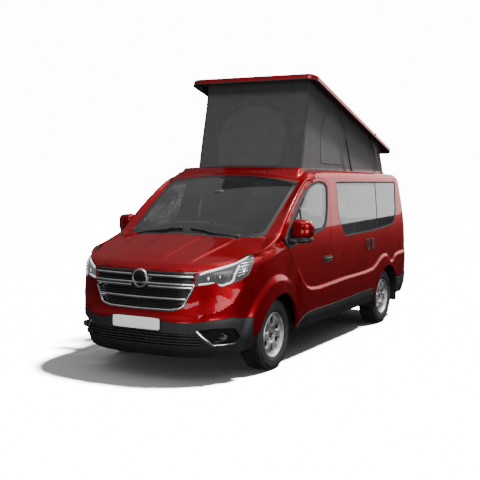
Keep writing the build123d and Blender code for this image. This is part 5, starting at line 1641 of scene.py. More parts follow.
@dataclass
class Wheel:
    """Tyre with tread and a cast wheel with oval windows."""

    radius: float = 345.0
    width: float = 215.0
    rim: float = 216.0
    windows: int = 6
    window_middle: float = 134.0
    window_long: float = 43.0
    window_wide: float = 41.0
    blocks: int = 58

    def build(self, name: str, centre: tuple[float, float, float], side: Side) -> None:
        """Make one wheel.

        Args:
            name: name of the wheel, as in its body.
            centre: middle of the wheel.
            side: side of the van it is on.
        """
        body = f"wheel_{name}"
        self.tyre(name, body, centre)
        self.face(name, body, centre, side)
        self.hub(name, body, centre, side)

    def moved(self, shape: Shape, centre: Sequence[float], side: Side = Side.LEFT) -> Shape:
        """Move a shape made about the X axis to its wheel, turned to face outwards."""
        shape.points = [(centre[0] + side.value * x, centre[1] + y, centre[2] + z) for x, y, z in shape.points]
        return shape

    def tyre(self, name: str, body: str, centre: Sequence[float]) -> None:
        """Carcass with ribs on its walls, and tread blocks by geometry nodes.

        Args:
            name: place of the wheel.
            body: body that it rides on.
            centre: centre of the wheel.
        """
        half = self.width / 2
        outer = [(half - 19, self.rim + 1), (half - 12, self.rim + 8), (half - 4, self.rim + 18), (half - 1, 246),
                 (half, 262), (half, 263), (half - 2, 266), (half - 1.5, 284), (half - 3, 300), (half - 5, 301),
                 (half - 6, 304), (half - 10, 316), (half - 16, 326), (half - 25, 333), (half - 38, 337), (40, 338)]
        profile = outer + [(-a, r) for a, r in outer[::-1]] + [(-half + 24, self.rim - 2), (half - 24, self.rim - 2)]
        shape = Shape()
        shape.grid(turned(profile, 108, closed=True), around=True)
        fit(self.moved(shape, centre).mesh(f"tyre_body_{name}", tidy=True, sharp=35), body, Finishes.TYRE,
            f"tyre_{name}")
        unit = Shape()
        for a, b, shift in ((-97, -66, 0.0), (-61, -24, 0.5), (-18, 18, 0.25), (24, 61, 0.5), (66, 97, 0.0)):
            for half_step in (0, 1):
                turn = 2 * math.pi / self.blocks * (shift + 0.5 * half_step)
                lift = 7.0 if abs(a + b) < 120 else 5.5
                corners = []
                for r in (335.0, 338.0 + lift - (0 if abs(a + b) < 120 else 0.5)):
                    for x, angle in ((a, -0.020), (b, -0.020), (b, 0.020), (a, 0.020)):
                        skew = 0.010 * (1 if x == b else -1)
                        drop = 5.0 if abs(x) > 90 else 0.0
                        corners.append((x, (r - drop) * math.sin(turn + angle + skew),
                                        (r - drop) * math.cos(turn + angle + skew)))
                unit.add(corners, [(0, 1, 2, 3), (4, 7, 6, 5), (0, 4, 5, 1), (1, 5, 6, 2), (2, 6, 7, 3), (3, 7, 4, 0)])
        piece = unit.mesh(f"tread_{name}", tidy=True)
        REPEAT.apply(piece, REPEAT.ring, {"Count": self.blocks, "First Turn": 0.0,
                                          "Centre": tuple(c * MM for c in centre), "Finish": Finishes.TYRE.material()})
        fit(piece, body, Finishes.TYRE)

    def dish(self, r: np.ndarray) -> np.ndarray:
        """How far out the face of the wheel stands at each radius."""
        return FairLine([(0, 58), (36, 60), (62, 61), (76, 70), (100, 76), (150, 80), (182, 76), (203, 64)])(r)

    def face(self, name: str, body: str, centre: Sequence[float], side: Side) -> None:
        """Barrel, and the face with its oval windows.

        Args:
            name: place of the wheel.
            body: body that it rides on.
            centre: centre of the wheel.
            side: side of the van.
        """
        shape = Shape()
        half = self.width / 2
        barrel = [(half - 12, self.rim + 1), (half - 9, self.rim - 2), (half - 12, self.rim - 7), (half - 22, 206),
                  (half - 30, 203), (40, 198), (-30, 192), (-half + 22, 202), (-half + 12, self.rim - 6),
                  (-half + 10, self.rim), (-half + 14, self.rim + 1), (0, 205)]
        shape.grid(turned(barrel, 96, closed=True), around=True)
        fit(self.moved(shape, centre, side).mesh(f"wheel_barrel_{name}", tidy=True, sharp=35), body, Finishes.ALLOY,
            f"rim_{name}")
        holes = []
        for k in range(self.windows):
            a = 2 * math.pi * (k + 0.5) / self.windows
            oval = []
            for j in range(28):
                t = 2 * math.pi * j / 28
                wide = self.window_wide * (0.78 + 0.22 * math.cos(t))
                q, w = self.window_middle + self.window_long * math.cos(t), wide * math.sin(t)
                oval.append((q * math.cos(a) - w * math.sin(a), q * math.sin(a) + w * math.cos(a)))
            holes.append(oval)

        def place(uv: np.ndarray, inset: float) -> tuple[np.ndarray, np.ndarray]:
            """Lay the face on its dish, sloping down into the windows."""
            def height(p: np.ndarray) -> np.ndarray:
                """Height of the face."""
                r = np.hypot(p[:, 0], p[:, 1])
                near = np.full(len(p), 1e9)
                for oval in holes:
                    ring = np.array(oval)
                    near = np.minimum(near, np.hypot(p[:, None, 0] - ring[None, :, 0],
                                                     p[:, None, 1] - ring[None, :, 1]).min(1))
                scoop = -9 * ease((13 - near) / 13)
                return self.dish(r) + scoop
            h = height(uv)
            step = 0.8
            hu = (height(uv + [step, 0]) - height(uv - [step, 0])) / (2 * step)
            hv = (height(uv + [0, step]) - height(uv - [0, step])) / (2 * step)
            n = np.stack([np.ones(len(uv)), -hu, -hv], 1)
            n /= np.linalg.norm(n, axis=1)[:, None]
            return np.stack([h, uv[:, 0], uv[:, 1]], 1) - n * inset, n

        disc = Shape()
        skin_patch(disc, place, circle_run((0, 0), 203, 0, 356, 89), holes, inset=0, depth=17, pitch=7, edge_pitch=7,
                   lip=1.0)
        self.moved(disc, centre, side)
        if side is Side.RIGHT:
            disc.faces = [f[::-1] for f in disc.faces]
            disc.leans = [tuple((-a, b, c) for a, b, c in lean[::-1]) for lean in disc.leans]
        fit(disc.mesh(f"wheel_face_{name}"), body, Finishes.ALLOY)

    def hub(self, name: str, body: str, centre: Sequence[float], side: Side) -> None:
        """Centre cap, wheel bolts, brake disc and valve, and a gloss black disc that paints the shade seen through the
        wheel's windows.

        Args:
            name: place of the wheel.
            body: body that it rides on.
            centre: centre of the wheel.
            side: side of the van.
        """
        # gloss black disc between the brake disc and the face: painted shade behind the windows
        shade_disc = Shape()
        shade_disc.grid(turned([(36, 40), (38, 120), (34, 196)], 64), around=True)
        fit(self.moved(shade_disc, centre, side).mesh(f"wheel_shade_disc_{name}", tidy=True), body, Finishes.GLOSS)
        cap = Shape()
        cap.grid(turned([(50, 0.01), (70, 0.01), (69.5, 14), (67, 24), (62, 29), (52, 30)], 40), around=True)
        fit(self.moved(cap, centre, side).mesh(f"hub_cap_{name}", tidy=True), body, Finishes.TRIM)
        unit = Shape()
        rows = []
        for x, r in ((50, 9.5), (66, 9.5), (69, 7.5), (69, 0.01)):
            rows.append([(x, r * math.sin(2 * math.pi * k / 6), 46 + r * math.cos(2 * math.pi * k / 6))
                         for k in range(6)])
        unit.grid(rows, around=True)
        if side is Side.RIGHT:
            unit.points = [(-x, y, z) for x, y, z in unit.points]
        bolts = REPEAT.apply(unit.mesh(f"wheel_bolts_{name}", tidy=True), REPEAT.ring, {
            "Count": 5, "First Turn": 0.3, "Centre": tuple(c * MM for c in centre),
            "Finish": Finishes.STEEL.material()})
        fit(bolts, body, Finishes.STEEL)
        disc = Shape()
        disc.grid(turned([(10, 60), (10, 148), (34, 148), (34, 60)], 64, closed=True), around=True)
        tube(disc, [(86, 0, 197), (97, 0, 192)], 3.5, 8)
        fit(self.moved(disc, centre, side).mesh(f"brake_disc_{name}", tidy=True), body, Finishes.STEEL)


# ---------------------------------------------------------------- tail


@dataclass
class Tail:
    """Tailgate, tail lamps and rear bumper."""

    gate: tuple = ((-794, 706), (-796, 1100), (-794, 1500), (-776, 1700), (-758, 1836), (0, 1842), (758, 1836),
                   (776, 1700), (794, 1500), (796, 1100), (794, 706), (400, 700), (0, 698), (-400, 700))
    window: tuple = ((-700, 1262), (-672, 1500), (-646, 1772), (0, 1786), (646, 1772), (672, 1500), (700, 1262),
                     (0, 1248))

    def build(self) -> None:
        """Make the rear end."""
        tools = CabDoors()
        skin = Shape()
        pocket = rounded([(-280, 1000), (280, 1000), (300, 1165), (-300, 1165)], 30)
        skin_patch(skin, Facing.TAIL, rounded(self.gate, 26), [rounded(self.window, 50), pocket], depth=20, pitch=19)
        fit(skin.mesh("tailgate_skin"), "tailgate", Finishes.PAINT)
        recess = Shape()
        skin_patch(recess, Facing.TAIL, tools.shrunk(pocket, -5), inset=16, depth=0, pitch=26)
        points, normals = on_body(Facing.TAIL, pocket, 12, 6.0, True)
        bar_along(recess, points, normals, 10, 8, True, sink=14)
        fit(recess.mesh("plate_recess"), "tailgate", Finishes.PAINT)
        band = Shape()
        outer = rounded(self.window, 50)
        skin_patch(band, Facing.TAIL, outer, [rounded(tools.shrunk(self.window, 40), 60)], inset=0.5, depth=8,
                   pitch=16, lip=-0.5)
        points, normals = on_body(Facing.TAIL, outer, 16, 0.0, True)
        bar_along(band, points, normals, 10, 4, True)
        fit(band.mesh("tailgate_window_band"), "tailgate", Finishes.SEAL)
        pane = Shape()
        skin_patch(pane, Facing.TAIL, tools.shrunk(self.window, 30), inset=4, depth=0, pitch=36)
        fit(pane.mesh("tailgate_pane"), "tailgate", Finishes.DARK_PANE, "tailgate_glass")
        plate = Shape()
        p, _ = FORM.place(Facing.TAIL, np.array([(0.0, 1082.0)]), 12)
        soft_block(plate, (0, p[0, 1], 1078), (258, 5, 54), 16, 12)
        fit(plate.mesh("plate_rear", tidy=True), "tailgate", Finishes.PLATE)
        grip = Shape()
        points, normals = on_body(Facing.TAIL, [(-330, 1192), (330, 1192)], 18, -2)
        bar_along(grip, points, normals, 36, 14)
        points, normals = on_body(Facing.TAIL, [(-300, 1806), (300, 1806)], 18, -1)
        bar_along(grip, points, normals, 20, 8)
        fit(grip.mesh("tailgate_grip"), "tailgate", Finishes.TRIM)
        self.wiper()
        for side in Side:
            self.lamp(side)
        self.bumper()
        self.lining()

    def wiper(self) -> None:
        """Rear wiper parked along the foot of the window."""
        arm = Shape()
        points, normals = on_body(Facing.TAIL, [(30, 1235), (60, 1276), (430, 1300)], 12, -3)
        bar_along(arm, points, normals, 12, 10)
        p, _ = FORM.place(Facing.TAIL, np.array([(30.0, 1232.0)]), -6)
        soft_block(arm, p[0], (24, 14, 24), 3, 12)
        fit(arm.mesh("rear_wiper"), "tailgate", Finishes.TRIM)

    def lamp(self, side: Side) -> None:
        """Tall tail lamp wrapped round the corner, with ribs and a reversing lamp.

        Args:
            side: side of the van.
        """
        word, facing = side.name.lower(), Facing[side.name]
        outline = rounded([(2352, 968), (2452, 950), (2452, 1424), (2372, 1440)], 22, 5)
        lens = Shape()
        skin_patch(lens, facing, outline, inset=-9, depth=26, pitch=12)
        fit(lens.mesh(f"tail_lens_{word}"), "body", Finishes.RED_LENS, "tail_lamps")
        points, normals = on_body(facing, [(2404, 1000), (2412, 1395)], 10, -9)
        ribs = REPEAT.along(f"tail_ribs_{word}", points, normals, 21, (5, 62, 3.5), Finishes.RED_LENS)
        fit(ribs, "body", Finishes.RED_LENS)
        clear = Shape()
        for z0, z1, dress in ((1010, 1060, "GUIDE"), (1210, 1262, "AMBER")):
            clear = Shape()
            skin_patch(clear, facing, rounded([(2372, z0), (2444, z0), (2444, z1), (2376, z1)], 12), inset=-12.5,
                       depth=6, pitch=10)
            fit(clear.mesh(f"tail_{dress.lower()}_{word}"), "body", Finishes[dress])

    def bumper(self) -> None:
        """Grained rear bumper round both corners with a step and reflectors."""
        shape = Shape()
        for facing, s in ((Facing.LEFT, 1), (Facing.RIGHT, -1)):
            outline = circle_run(REAR_AXLE, REAR_ARCH, 2, 32, 12)
            outline = outline + [(2300, 560), (2380, 634), (2480, 642), (2480, 350), (2200, 330), (1985, 340)]
            skin_patch(shape, facing, outline, inset=-4, depth=30, pitch=15)
        skin_patch(shape, Facing.TAIL, [(-812, 350), (812, 350), (812, 642), (-812, 642)], inset=-4, depth=30, pitch=20)
        fit(shape.mesh("rear_bumper_skin"), "body", Finishes.TRIM, "rear_bumper")
        points, normals = on_body(Facing.TAIL, [(-640, 628), (640, 628)], 30, -4)
        fit(REPEAT.along("bumper_step_ribs", points, normals, 26, (8, 22, 5), Finishes.TRIM_LIGHT), "body",
            Finishes.TRIM_LIGHT)
        marks = Shape()
        for s in (-1, 1):
            skin_patch(marks, Facing.TAIL, rounded([(s * 700, 452), (s * 560, 452), (s * 560, 480), (s * 700, 480)], 8),
                       inset=-8, depth=8, pitch=10)
        fit(marks.mesh("rear_reflectors"), "body", Finishes.RED_LENS)
        tip = Shape()
        tube(tip, [(250, 2180, 330), (250, 2400, 316), (262, 2500, 300)], [26, 26, 27], 20)
        fit(tip.mesh("exhaust_tip"), "body", Finishes.STEEL)

    def lining(self) -> None:
        """Lining inside the tailgate, seen when it is open."""
        lining = Shape()
        skin_patch(lining, Facing.TAIL, CabDoors().shrunk(self.gate, 60), [rounded(self.window, 50)], inset=64,
                   depth=0, pitch=40)
        lining.faces = [f[::-1] for f in lining.faces]
        lining.leans = [None] * len(lining.leans)
        fit(lining.mesh("tailgate_lining"), "tailgate", Finishes.CABIN)


# ---------------------------------------------------------------- raised roof and tent


def raised(point: Sequence[float]) -> tuple[float, float, float]:
    """Where a point of the closed roof stands when the roof is up."""
    dy, dz = point[1] - POLE[0], point[2] - POLE[1]
    c, s = math.cos(-LIFT), math.sin(-LIFT)
    return (point[0], POLE[0] + dy * c - dz * s, POLE[1] + dy * s + dz * c)


@dataclass
class RaisedRoof:
    """Roof shell that tips up at the front."""

    half: float = 790.0
    taper: float = 0.055
    front: float = -490.0
    rear: float = 2308.0
    top: float = 2020.0
    corner: float = 100.0
    front_depth: float = 77.0
    rear_depth: float = 68.0

    def loop(self, inset: float, count: int = 14) -> list[tuple[float, float]]:
        """Plan outline of the shell moved inwards."""
        r = max(self.corner - inset, 12)
        corners = []
        for cx, cy, start in ((1, 1, 0), (-1, 1, 90), (-1, -1, 180), (1, -1, 270)):
            x = cx * (self.half - inset - r)
            y = (self.rear - inset - r) if cy > 0 else (self.front + inset + r)
            corners += circle_run((x, y), r, start, start + 90, count)
        length = self.rear - self.front
        return [(u * (1 - self.taper * (v - self.front) / length), v) for u, v in corners]

    def build(self) -> None:
        """Make the shell, its lining, seal, ribs and ears."""
        def lift(u: float, v: float) -> float:
            """Height of the crowned top."""
            edge = max(abs(u) / self.half, 0.0)
            return self.top - 16 * edge ** 3.2 - 5 * (1 - math.sin(math.pi * min(1, max(0, (v - self.front) / 2798))))

        rows = []
        for inset, drop in ((0, None), (0, 14), (2, 8), (6, 3.5), (12, 1), (26, 0), (120, 0), (300, 0), (520, 0),
                            (690, 0)):
            row = []
            for u, v in self.loop(inset):
                t = (v - self.front) / (self.rear - self.front)
                deep = self.front_depth + (self.rear_depth - self.front_depth) * t
                z = (self.top - deep) if drop is None else lift(u, v) - drop
                row.append(raised((u, v, z)))
            rows.append(row)
        shell = Shape()
        shell.grid(rows, around=True, capped=False)
        shell.add(rows[-1], [tuple(range(len(rows[-1])))])
        fit(shell.mesh("roof_shell_skin", tidy=True, sharp=50), "pop_roof", Finishes.ROOF_PAINT, "pop_roof")
        self.liner()
        self.fittings()

    def liner(self) -> None:
        """Dark inside of the shell and the rubber lip along its edge."""
        rows = []
        for inset, up in ((1.0, 0.0), (14, 0.0), (14.5, None), (40, None), (300, None), (640, None)):
            row = []
            for u, v in self.loop(inset):
                t = (v - self.front) / (self.rear - self.front)
                deep = self.front_depth + (self.rear_depth - self.front_depth) * t
                z = self.top - deep + 1 + up if up is not None else self.top - 18
                row.append(raised((u, v, z)))
            rows.append(row)
        inner = Shape()
        inner.grid(rows, around=True)
        inner.add(rows[-1], [tuple(range(len(rows[-1])))])
        inner.faces = [f[::-1] for f in inner.faces]
        fit(inner.mesh("roof_shell_lining"), "pop_roof", Finishes.CABIN)
        lip = Shape()
        loop = np.array([p for p in self.loop(6)])
        t = (loop[:, 1] - self.front) / (self.rear - self.front)
        z = self.top - (self.front_depth + (self.rear_depth - self.front_depth) * t) + 4
        points = np.array([raised((u, v, w)) for (u, v), w in zip(loop, z)])
        down = np.array([0, math.sin(-LIFT), -math.cos(LIFT)]) * np.ones((len(loop), 1))
        bar_along(lip, points, down, 13, 11, True, sink=3)
        fit(lip.mesh("roof_shell_lip", tidy=True), "pop_roof", Finishes.SEAL)

    def fittings(self) -> None:
        """Long ribs on the top, ears for struts and stays, and the strut feet on the body."""
        ribs = Shape()
        for x in (-430, -215, 215, 430):
            points = np.array([raised((x, y, 2020 - 16 * (abs(x) / 790) ** 3.2 - 5 * (1 - math.sin(
                math.pi * (y + 490) / 2798)))) for y in np.linspace(-260, 2120, 70)])
            up = np.array([0, math.sin(LIFT), math.cos(LIFT)]) * np.ones((70, 1))
            height = 4.5
            bar_along(ribs, points, up, 46, height, sink=3, crown=0.9)
        fit(ribs.mesh("roof_shell_ribs", tidy=True), "pop_roof", Finishes.ROOF_PAINT)
        ears = Shape()
        for s in (-1, 1):
            for y, z in ((637, 2668), (1655, 2380)):
                soft_block(ears, (s * 708, y, z + 14), (5, 18, 30), 6, 8)
                tube(ears, [(s * 682, y, z), (s * 712, y, z)], 5, 12)
                soft_block(ears, (s * 738, y, z + 30), (30, 16, 10), 8, 8)
        fit(ears.mesh("roof_ears", tidy=True), "pop_roof", Finishes.TRIM)
        feet = Shape()
        for s in (-1, 1):
            for y, inner in ((992, 682), (2049, 670)):
                soft_block(feet, (s * 706, y, 1932), (4, 16, 25), 6, 10)
                soft_block(feet, (s * 704, y, 1916), (22, 26, 6), 8, 10)
                tube(feet, [(s * inner, y, 1947), (s * 708, y, 1947)], 4, 12)
        fit(feet.mesh("strut_feet", tidy=True), "body", Finishes.TRIM, "roof_fittings")


@dataclass
class Tent:
    """Tent between the roof opening and the raised shell."""

    half: float = 646.0
    foot_front: float = -398.0
    foot_rear: float = 2277.0
    top_front: float = -315.0
    top_rear: float = 2022.0
    foot_z: float = 1942.5
    rows_up: int = 46

    def wall_point(self, t: float, s: float) -> tuple[Vector, Vector]:
        """Point and outward direction of the tent cloth.

        Args:
            t: way round the tent from 0 to 4: front, left side, rear, right side.
            s: way up from 0 at the foot to 1 at the shell.

        Returns:
            The point and its outward direction.
        """
        k, f = int(t) % 4, t - int(t)
        if k == 0:
            x, run, out = -self.half + 2 * self.half * f, 0.0, Vector((0, -1, 0.12))
        elif k == 1:
            x, run, out = self.half, f, Vector((1, 0, 0))
        elif k == 2:
            x, run, out = self.half - 2 * self.half * f, 1.0, Vector((0, 1, 0.2))
        else:
            x, run, out = -self.half, 1 - f, Vector((-1, 0, 0))
        foot = Vector((x, self.foot_front + (self.foot_rear - self.foot_front) * run, self.foot_z))
        top = Vector(raised((x, self.top_front + (self.top_rear - self.top_front) * run, 2003.0)))
        p = foot.lerp(top, s)
        tall = top.z - foot.z
        wide = 2 * self.half if k in (0, 2) else 2400.0
        pull = math.sin(math.pi * s) * math.sin(math.pi * f) ** 0.7
        sag = -(7 + 5 * tall / 900) * pull
        corner = min(f, 1 - f) * wide
        sag += 3.0 * math.sin(corner / 34 + 7 * s) * math.exp(-corner / 120) * math.sin(math.pi * s)
        sag += 1.8 * math.sin(f * 23 + 5 * s + k) * math.sin(f * 9 + 3) * math.sin(math.pi * s) ** 2
        sag += 2.2 * math.exp(-s * 11) * math.sin(f * 61 + k * 2) + 1.6 * math.exp(-(1 - s) * 13) * math.sin(f * 47 + k)
        return p + out.normalized() * sag, out.normalized()

    def build(self) -> None:
        """Make the cloth, its windows, tapes and stitches."""
        steps = [i / 40 for i in range(40)]
        ways = [k + (f + 0.045 * math.sin(2 * math.pi * f) * -0.5) for k in range(4) for f in steps]
        rows = [[tuple(self.wall_point(t, s / self.rows_up)[0]) for t in ways] for s in range(self.rows_up + 1)]
        cloth = Shape()
        cloth.grid(rows, around=True)
        tent = cloth.mesh("tent_cloth", sharp=70)
        fit(tent, "body", Finishes.CANVAS, "canvas")
        extras = [self.window("tent_window_front", 0, (0.17, 0.83), (0.05, 0.74)),
                  self.window("tent_window_left", 1, (0.19, 0.46), (0.10, 0.84)),
                  self.window("tent_window_right", 3, (0.54, 0.81), (0.10, 0.84))]
        extras.append(self.tapes())
        extras += self.stitches()
        for piece in [tent, *extras]:
            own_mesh(piece)

    def window(self, name: str, wall: int, span: tuple[float, float], rise: tuple[float, float]) -> bpy.types.Object:
        """Arched window panel of thin cloth sewn on one wall.

        Args:
            name: name of the panel.
            wall: wall that it is sewn on, from 0 to 3.
            span: where it starts and ends along the wall.
            rise: where it starts and ends up the wall.

        Returns:
            The panel.
        """
        rows = []
        for i in range(31):
            row = []
            s = i / 30
            high = rise[0] + (rise[1] - rise[0]) * s
            half = 0.5 * math.sqrt(max(0.0, 1 - max(0.0, (s - 0.45) / 0.55) ** 2.2)) * (0.90 + 0.10 * min(1, s / 0.3))
            for j in range(25):
                f = (span[0] + span[1]) / 2 + (span[1] - span[0]) * half * (2 * j / 24 - 1)
                p, out = self.wall_point(wall + min(0.999, max(0.0, f)), high)
                row.append(tuple(p + out * 3.0))
            rows.append(row)
        shape = Shape()
        shape.grid(rows)
        edge = [rows[0][j] for j in range(25)] + [rows[i][24] for i in range(31)]
        edge += [rows[30][j] for j in range(24, -1, -1)] + [rows[i][0] for i in range(30, -1, -1)]
        clean = [edge[0]]
        for p in edge[1:]:
            if math.dist(p, clean[-1]) > 6:
                clean.append(p)
        out = np.array([tuple(self.wall_point(wall + 0.5, 0.5)[1])] * len(clean))
        panel = fit(shape.mesh(name, sharp=80), "body", Finishes.CANVAS_LIGHT)
        hem = Shape()
        bar_along(hem, np.array(clean), out, 16, 1.6, True, sink=1.0, crown=0.8)
        fit(hem.mesh(f"{name}_hem", tidy=True), "body", Finishes.CANVAS)
        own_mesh(bpy.data.objects[f"{name}_hem"])
        return panel

    def tapes(self) -> bpy.types.Object:
        """Corner seams, foot hem and top hem."""
        shape = Shape()
        for corner in range(4):
            points = np.array([tuple(self.wall_point(corner + 0.004, s)[0]) for s in np.linspace(0.01, 0.985, 40)])
            out = np.array([(1 if corner in (1, 2) else -1, -1 if corner in (0, 1) else 1, 0)] * 40) / math.sqrt(2)
            bar_along(shape, points, out, 22, 2.2, sink=1, crown=0.8)
        for s in (0.012, 0.982):
            for wall in range(4):
                points = np.array([tuple(self.wall_point(wall + f, s)[0]) for f in np.linspace(0.004, 0.996, 60)])
                out = np.array([tuple(self.wall_point(wall + 0.5, s)[1])] * 60)
                bar_along(shape, points, out, 24, 2.4, sink=1, crown=0.8)
        return fit(shape.mesh("tent_tapes", tidy=True), "body", Finishes.WEBBING)

    def stitches(self) -> list[bpy.types.Object]:
        """Rows of stitches beside the corner seams, by geometry nodes."""
        made = []
        for corner, word in ((0, "front_right"), (1, "front_left")):
            side = 0.984 if corner == 1 else 0.016
            points = np.array([tuple(self.wall_point((0 if corner == 1 else 0) + side, s)[0])
                               for s in np.linspace(0.02, 0.97, 60)])
            out = np.array([tuple(self.wall_point(0.5, 0.5)[1])] * 60)
            made.append(fit(REPEAT.along(f"tent_stitches_{word}", points + out * 1.4, out, 9, (5.5, 1.3, 1.2),
                                         Finishes.WEBBING), "body", Finishes.WEBBING))
        return made


# ---------------------------------------------------------------- cabin and living space


@dataclass
class Seats:
    """Padded seats of the cab and the rear bench."""

    width: float = 500.0

    def build(self) -> None:
        """Make all four seats."""
        for word, x, y, width, nodes in (("cab_left", 430, -640, 500, "front_seats"),
                                         ("cab_right", -430, -640, 500, "front_seats"),
                                         ("bench_inner", -130, 860, 470, "rear_bench"),
                                         ("bench_outer", -610, 860, 470, "rear_bench")):
            self.seat(word, x, y, width, nodes)

    def pad(self, name: str, centre: Sequence[float], half: Sequence[float], tilt: float, node: str,
            fill: float, grooves: int, along: int) -> None:
        """One crowned cushion with sewn channels.

        Args:
            name: name of the piece.
            centre: its middle.
            half: its half sizes.
            tilt: lean about the X axis in degrees.
            node: plain node that it stands for.
            fill: not used.
            grooves: number of sewn channels.
            along: axis that the channels are counted along.
        """
        def sewn(q: list[float]) -> list[float]:
            """Crown the face, pull in the channels and the sides."""
            face = 1 if along == 1 else 2
            other = 2 if face == 1 else 1
            line = q[other] * grooves / 2
            gap = abs(line - round(line)) * 2 / grooves
            groove = 0.07 * math.exp(-(gap / 0.035) ** 2) * (1 if abs(q[0]) < 0.62 else 0)
            edge = 0.09 * math.exp(-((abs(q[0]) - 0.64) / 0.045) ** 2)
            bolster = 0.16 * max(0.0, (abs(q[0]) - 0.62) / 0.38)
            thin = 2 if along == 1 else 1
            q = list(q)
            q[thin] = q[thin] * (1 - groove - edge + bolster)
            q[0] *= 1 - 0.03 * math.cos(math.pi * q[other] / 2)
            return q

        shape = Shape()
        soft_block(shape, centre, half, 4.2, 34, Matrix.Rotation(math.radians(tilt), 3, "X"), sewn)
        piece = fit(shape.mesh(name, tidy=True, sharp=75), "body", Finishes.CLOTH, node)

    def seat(self, word: str, x: float, y: float, width: float, node: str) -> None:
        """One seat: base, cushion, back and headrest."""
        half = width / 2 - 6
        self.pad(f"seat_cushion_{word}", (x, y - 16, 772), (half, 248, 64), -3, node, 0.7, 4, 1)
        self.pad(f"seat_back_{word}", (x, y + 276, 1118), (half - 8, 62, 308), -10.5, node, 0.65, 6, 2)
        self.pad(f"seat_headrest_{word}", (x, y + 336, 1526), (128, 44, 78), -6, node, 0.75, 2, 2)
        base = Shape()
        soft_block(base, (x, y, 572), (half * 0.78, 196, 130), 9, 10)
        soft_block(base, (x, y + 6, 716), (half * 0.95, 232, 18), 6, 12)
        for dx in (-46, 46):
            tube(base, [(x + dx, y + 320, 1380), (x + dx, y + 334, 1470)], 6, 10)
        soft_block(base, (x + (half + 2) * (1 if x > 0 else -1) * 0.97, y + 30, 700), (9, 190, 60), 5, 10)
        fit(base.mesh(f"seat_base_{word}", tidy=True), "body", Finishes.CABIN, node)


@dataclass
class Cabin:
    """Dashboard, steering wheel and lever, and pale linings."""

    ring: float = 186.0
    centre: tuple = (430.0, -1115.0, 1085.0)

    def build(self) -> None:
        """Make the cab furniture."""
        dash = Shape()
        profile = [(-1640, 1150), (-1560, 1196), (-1430, 1206), (-1352, 1188), (-1318, 1150), (-1312, 1080),
                   (-1330, 980), (-1352, 900), (-1404, 820), (-1470, 770), (-1560, 765)]
        rows = []
        for i in range(41):
            x = -780 + 1560 * i / 40
            hood = 26 * math.exp(-((x - 430) / 150) ** 4) + 10 * math.exp(-((x) / 130) ** 4)
            end = 1 - 0.08 * (abs(x) / 780) ** 6
            rows.append([(x, y + (10 * math.exp(-((x - 430) / 160) ** 4) if y > -1420 else 0),
                          765 + (z + (hood if -1500 < y < -1340 else 0) - 765) * end) for y, z in profile])
        dash.grid(rows, around=True, capped=True)
        for x in (-560, -80, 80, 610):
            soft_block(dash, (x, -1322, 1090), (62, 12, 30), 5, 10)
        soft_block(dash, (0, -1316, 1010), (130, 16, 52), 8, 12)
        soft_block(dash, (0, -1330, 1168), (118, 10, 66), 9, 12)
        fit(dash.mesh("dashboard_form", tidy=True), "body", Finishes.CABIN, "dashboard")
        self.wheel()
        self.linings()

    def wheel(self) -> None:
        """Steering wheel with a padded boss and three spokes, and its column."""
        turn = Vector((0, 0, 1)).rotation_difference(Vector((0, 0.76, 0.65))).to_matrix()
        origin = Vector(self.centre)
        shape = Shape()
        rows = []
        for i in range(72):
            a = 2 * math.pi * i / 72
            grip = 14 + 1.5 * math.cos(2 * a) ** 6
            row = []
            for k in range(14):
                b = 2 * math.pi * k / 14
                q = Vector(((self.ring + grip * math.cos(b)) * math.cos(a), (self.ring + grip * math.cos(b)) *
                            math.sin(a), grip * math.sin(b)))
                row.append(tuple(origin + turn @ q))
            rows.append(row)
        shape.grid(rows + [rows[0]], around=True)
        soft_block(shape, tuple(origin + turn @ Vector((0, 0, -4))), (66, 56, 22), 3.2, 16, turn)
        for angle in (0, 180, 270):
            way = Matrix.Rotation(math.radians(angle), 3, "Z")
            mid = way @ Vector((112, 0, -4))
            soft_block(shape, tuple(origin + turn @ mid), (76, 18, 7), 4, 10, turn @ way)
        tube(shape, [tuple(origin + turn @ Vector((0, 0, -20))), tuple(origin + turn @ Vector((0, 0, -138)))], 24, 18)
        fit(shape.mesh("steering_wheel_rim", tidy=True), "steering_wheel", Finishes.CABIN, "steering_wheel")
        column = Shape()
        tube(column, [tuple(origin + turn @ Vector((0, 0, -105))), tuple(origin + turn @ Vector((0, 0, -415)))],
             [38, 46], 20)
        for s in (-1, 1):
            tube(column, [tuple(origin + turn @ Vector((s * 20, 10, -95))),
                          tuple(origin + turn @ Vector((s * 150, 34, -82)))], [8, 7], 10)
        fit(column.mesh("steering_column_cover", tidy=True), "body", Finishes.CABIN)

    def linings(self) -> None:
        """Ceiling lining, blinds on the right-hand windows and the living-space floor."""
        floor = Shape()
        soft_block(floor, (0, 430, 446), (835, 1960, 8), 40, 10)
        fit(floor.mesh("floor_cover", tidy=True), "body", Finishes.TOP)
        blinds = Shape()
        for side in Side:
            facing = Facing[side.name]
            if side is Side.RIGHT:
                skin_patch(blinds, facing, [(20, 1230), (1280, 1260), (1290, 1795), (20, 1795)], inset=80, depth=0,
                           pitch=40)
        fit(blinds.mesh("window_blinds"), "body", Finishes.CURTAIN)
        ceiling = Shape()
        skin_patch(ceiling, Facing.TOP, [(-760, -700), (760, -700), (770, 2250), (-770, 2250)],
                   [rounded([(-640, -372), (640, -372), (640, 2250 - 8), (-640, 2250 - 8)], 40)], inset=64, depth=0,
                   pitch=40)
        ceiling.faces = [f[::-1] for f in ceiling.faces]
        ceiling.leans = [None] * len(ceiling.leans)
        fit(ceiling.mesh("ceiling_lining"), "body", Finishes.LINING)


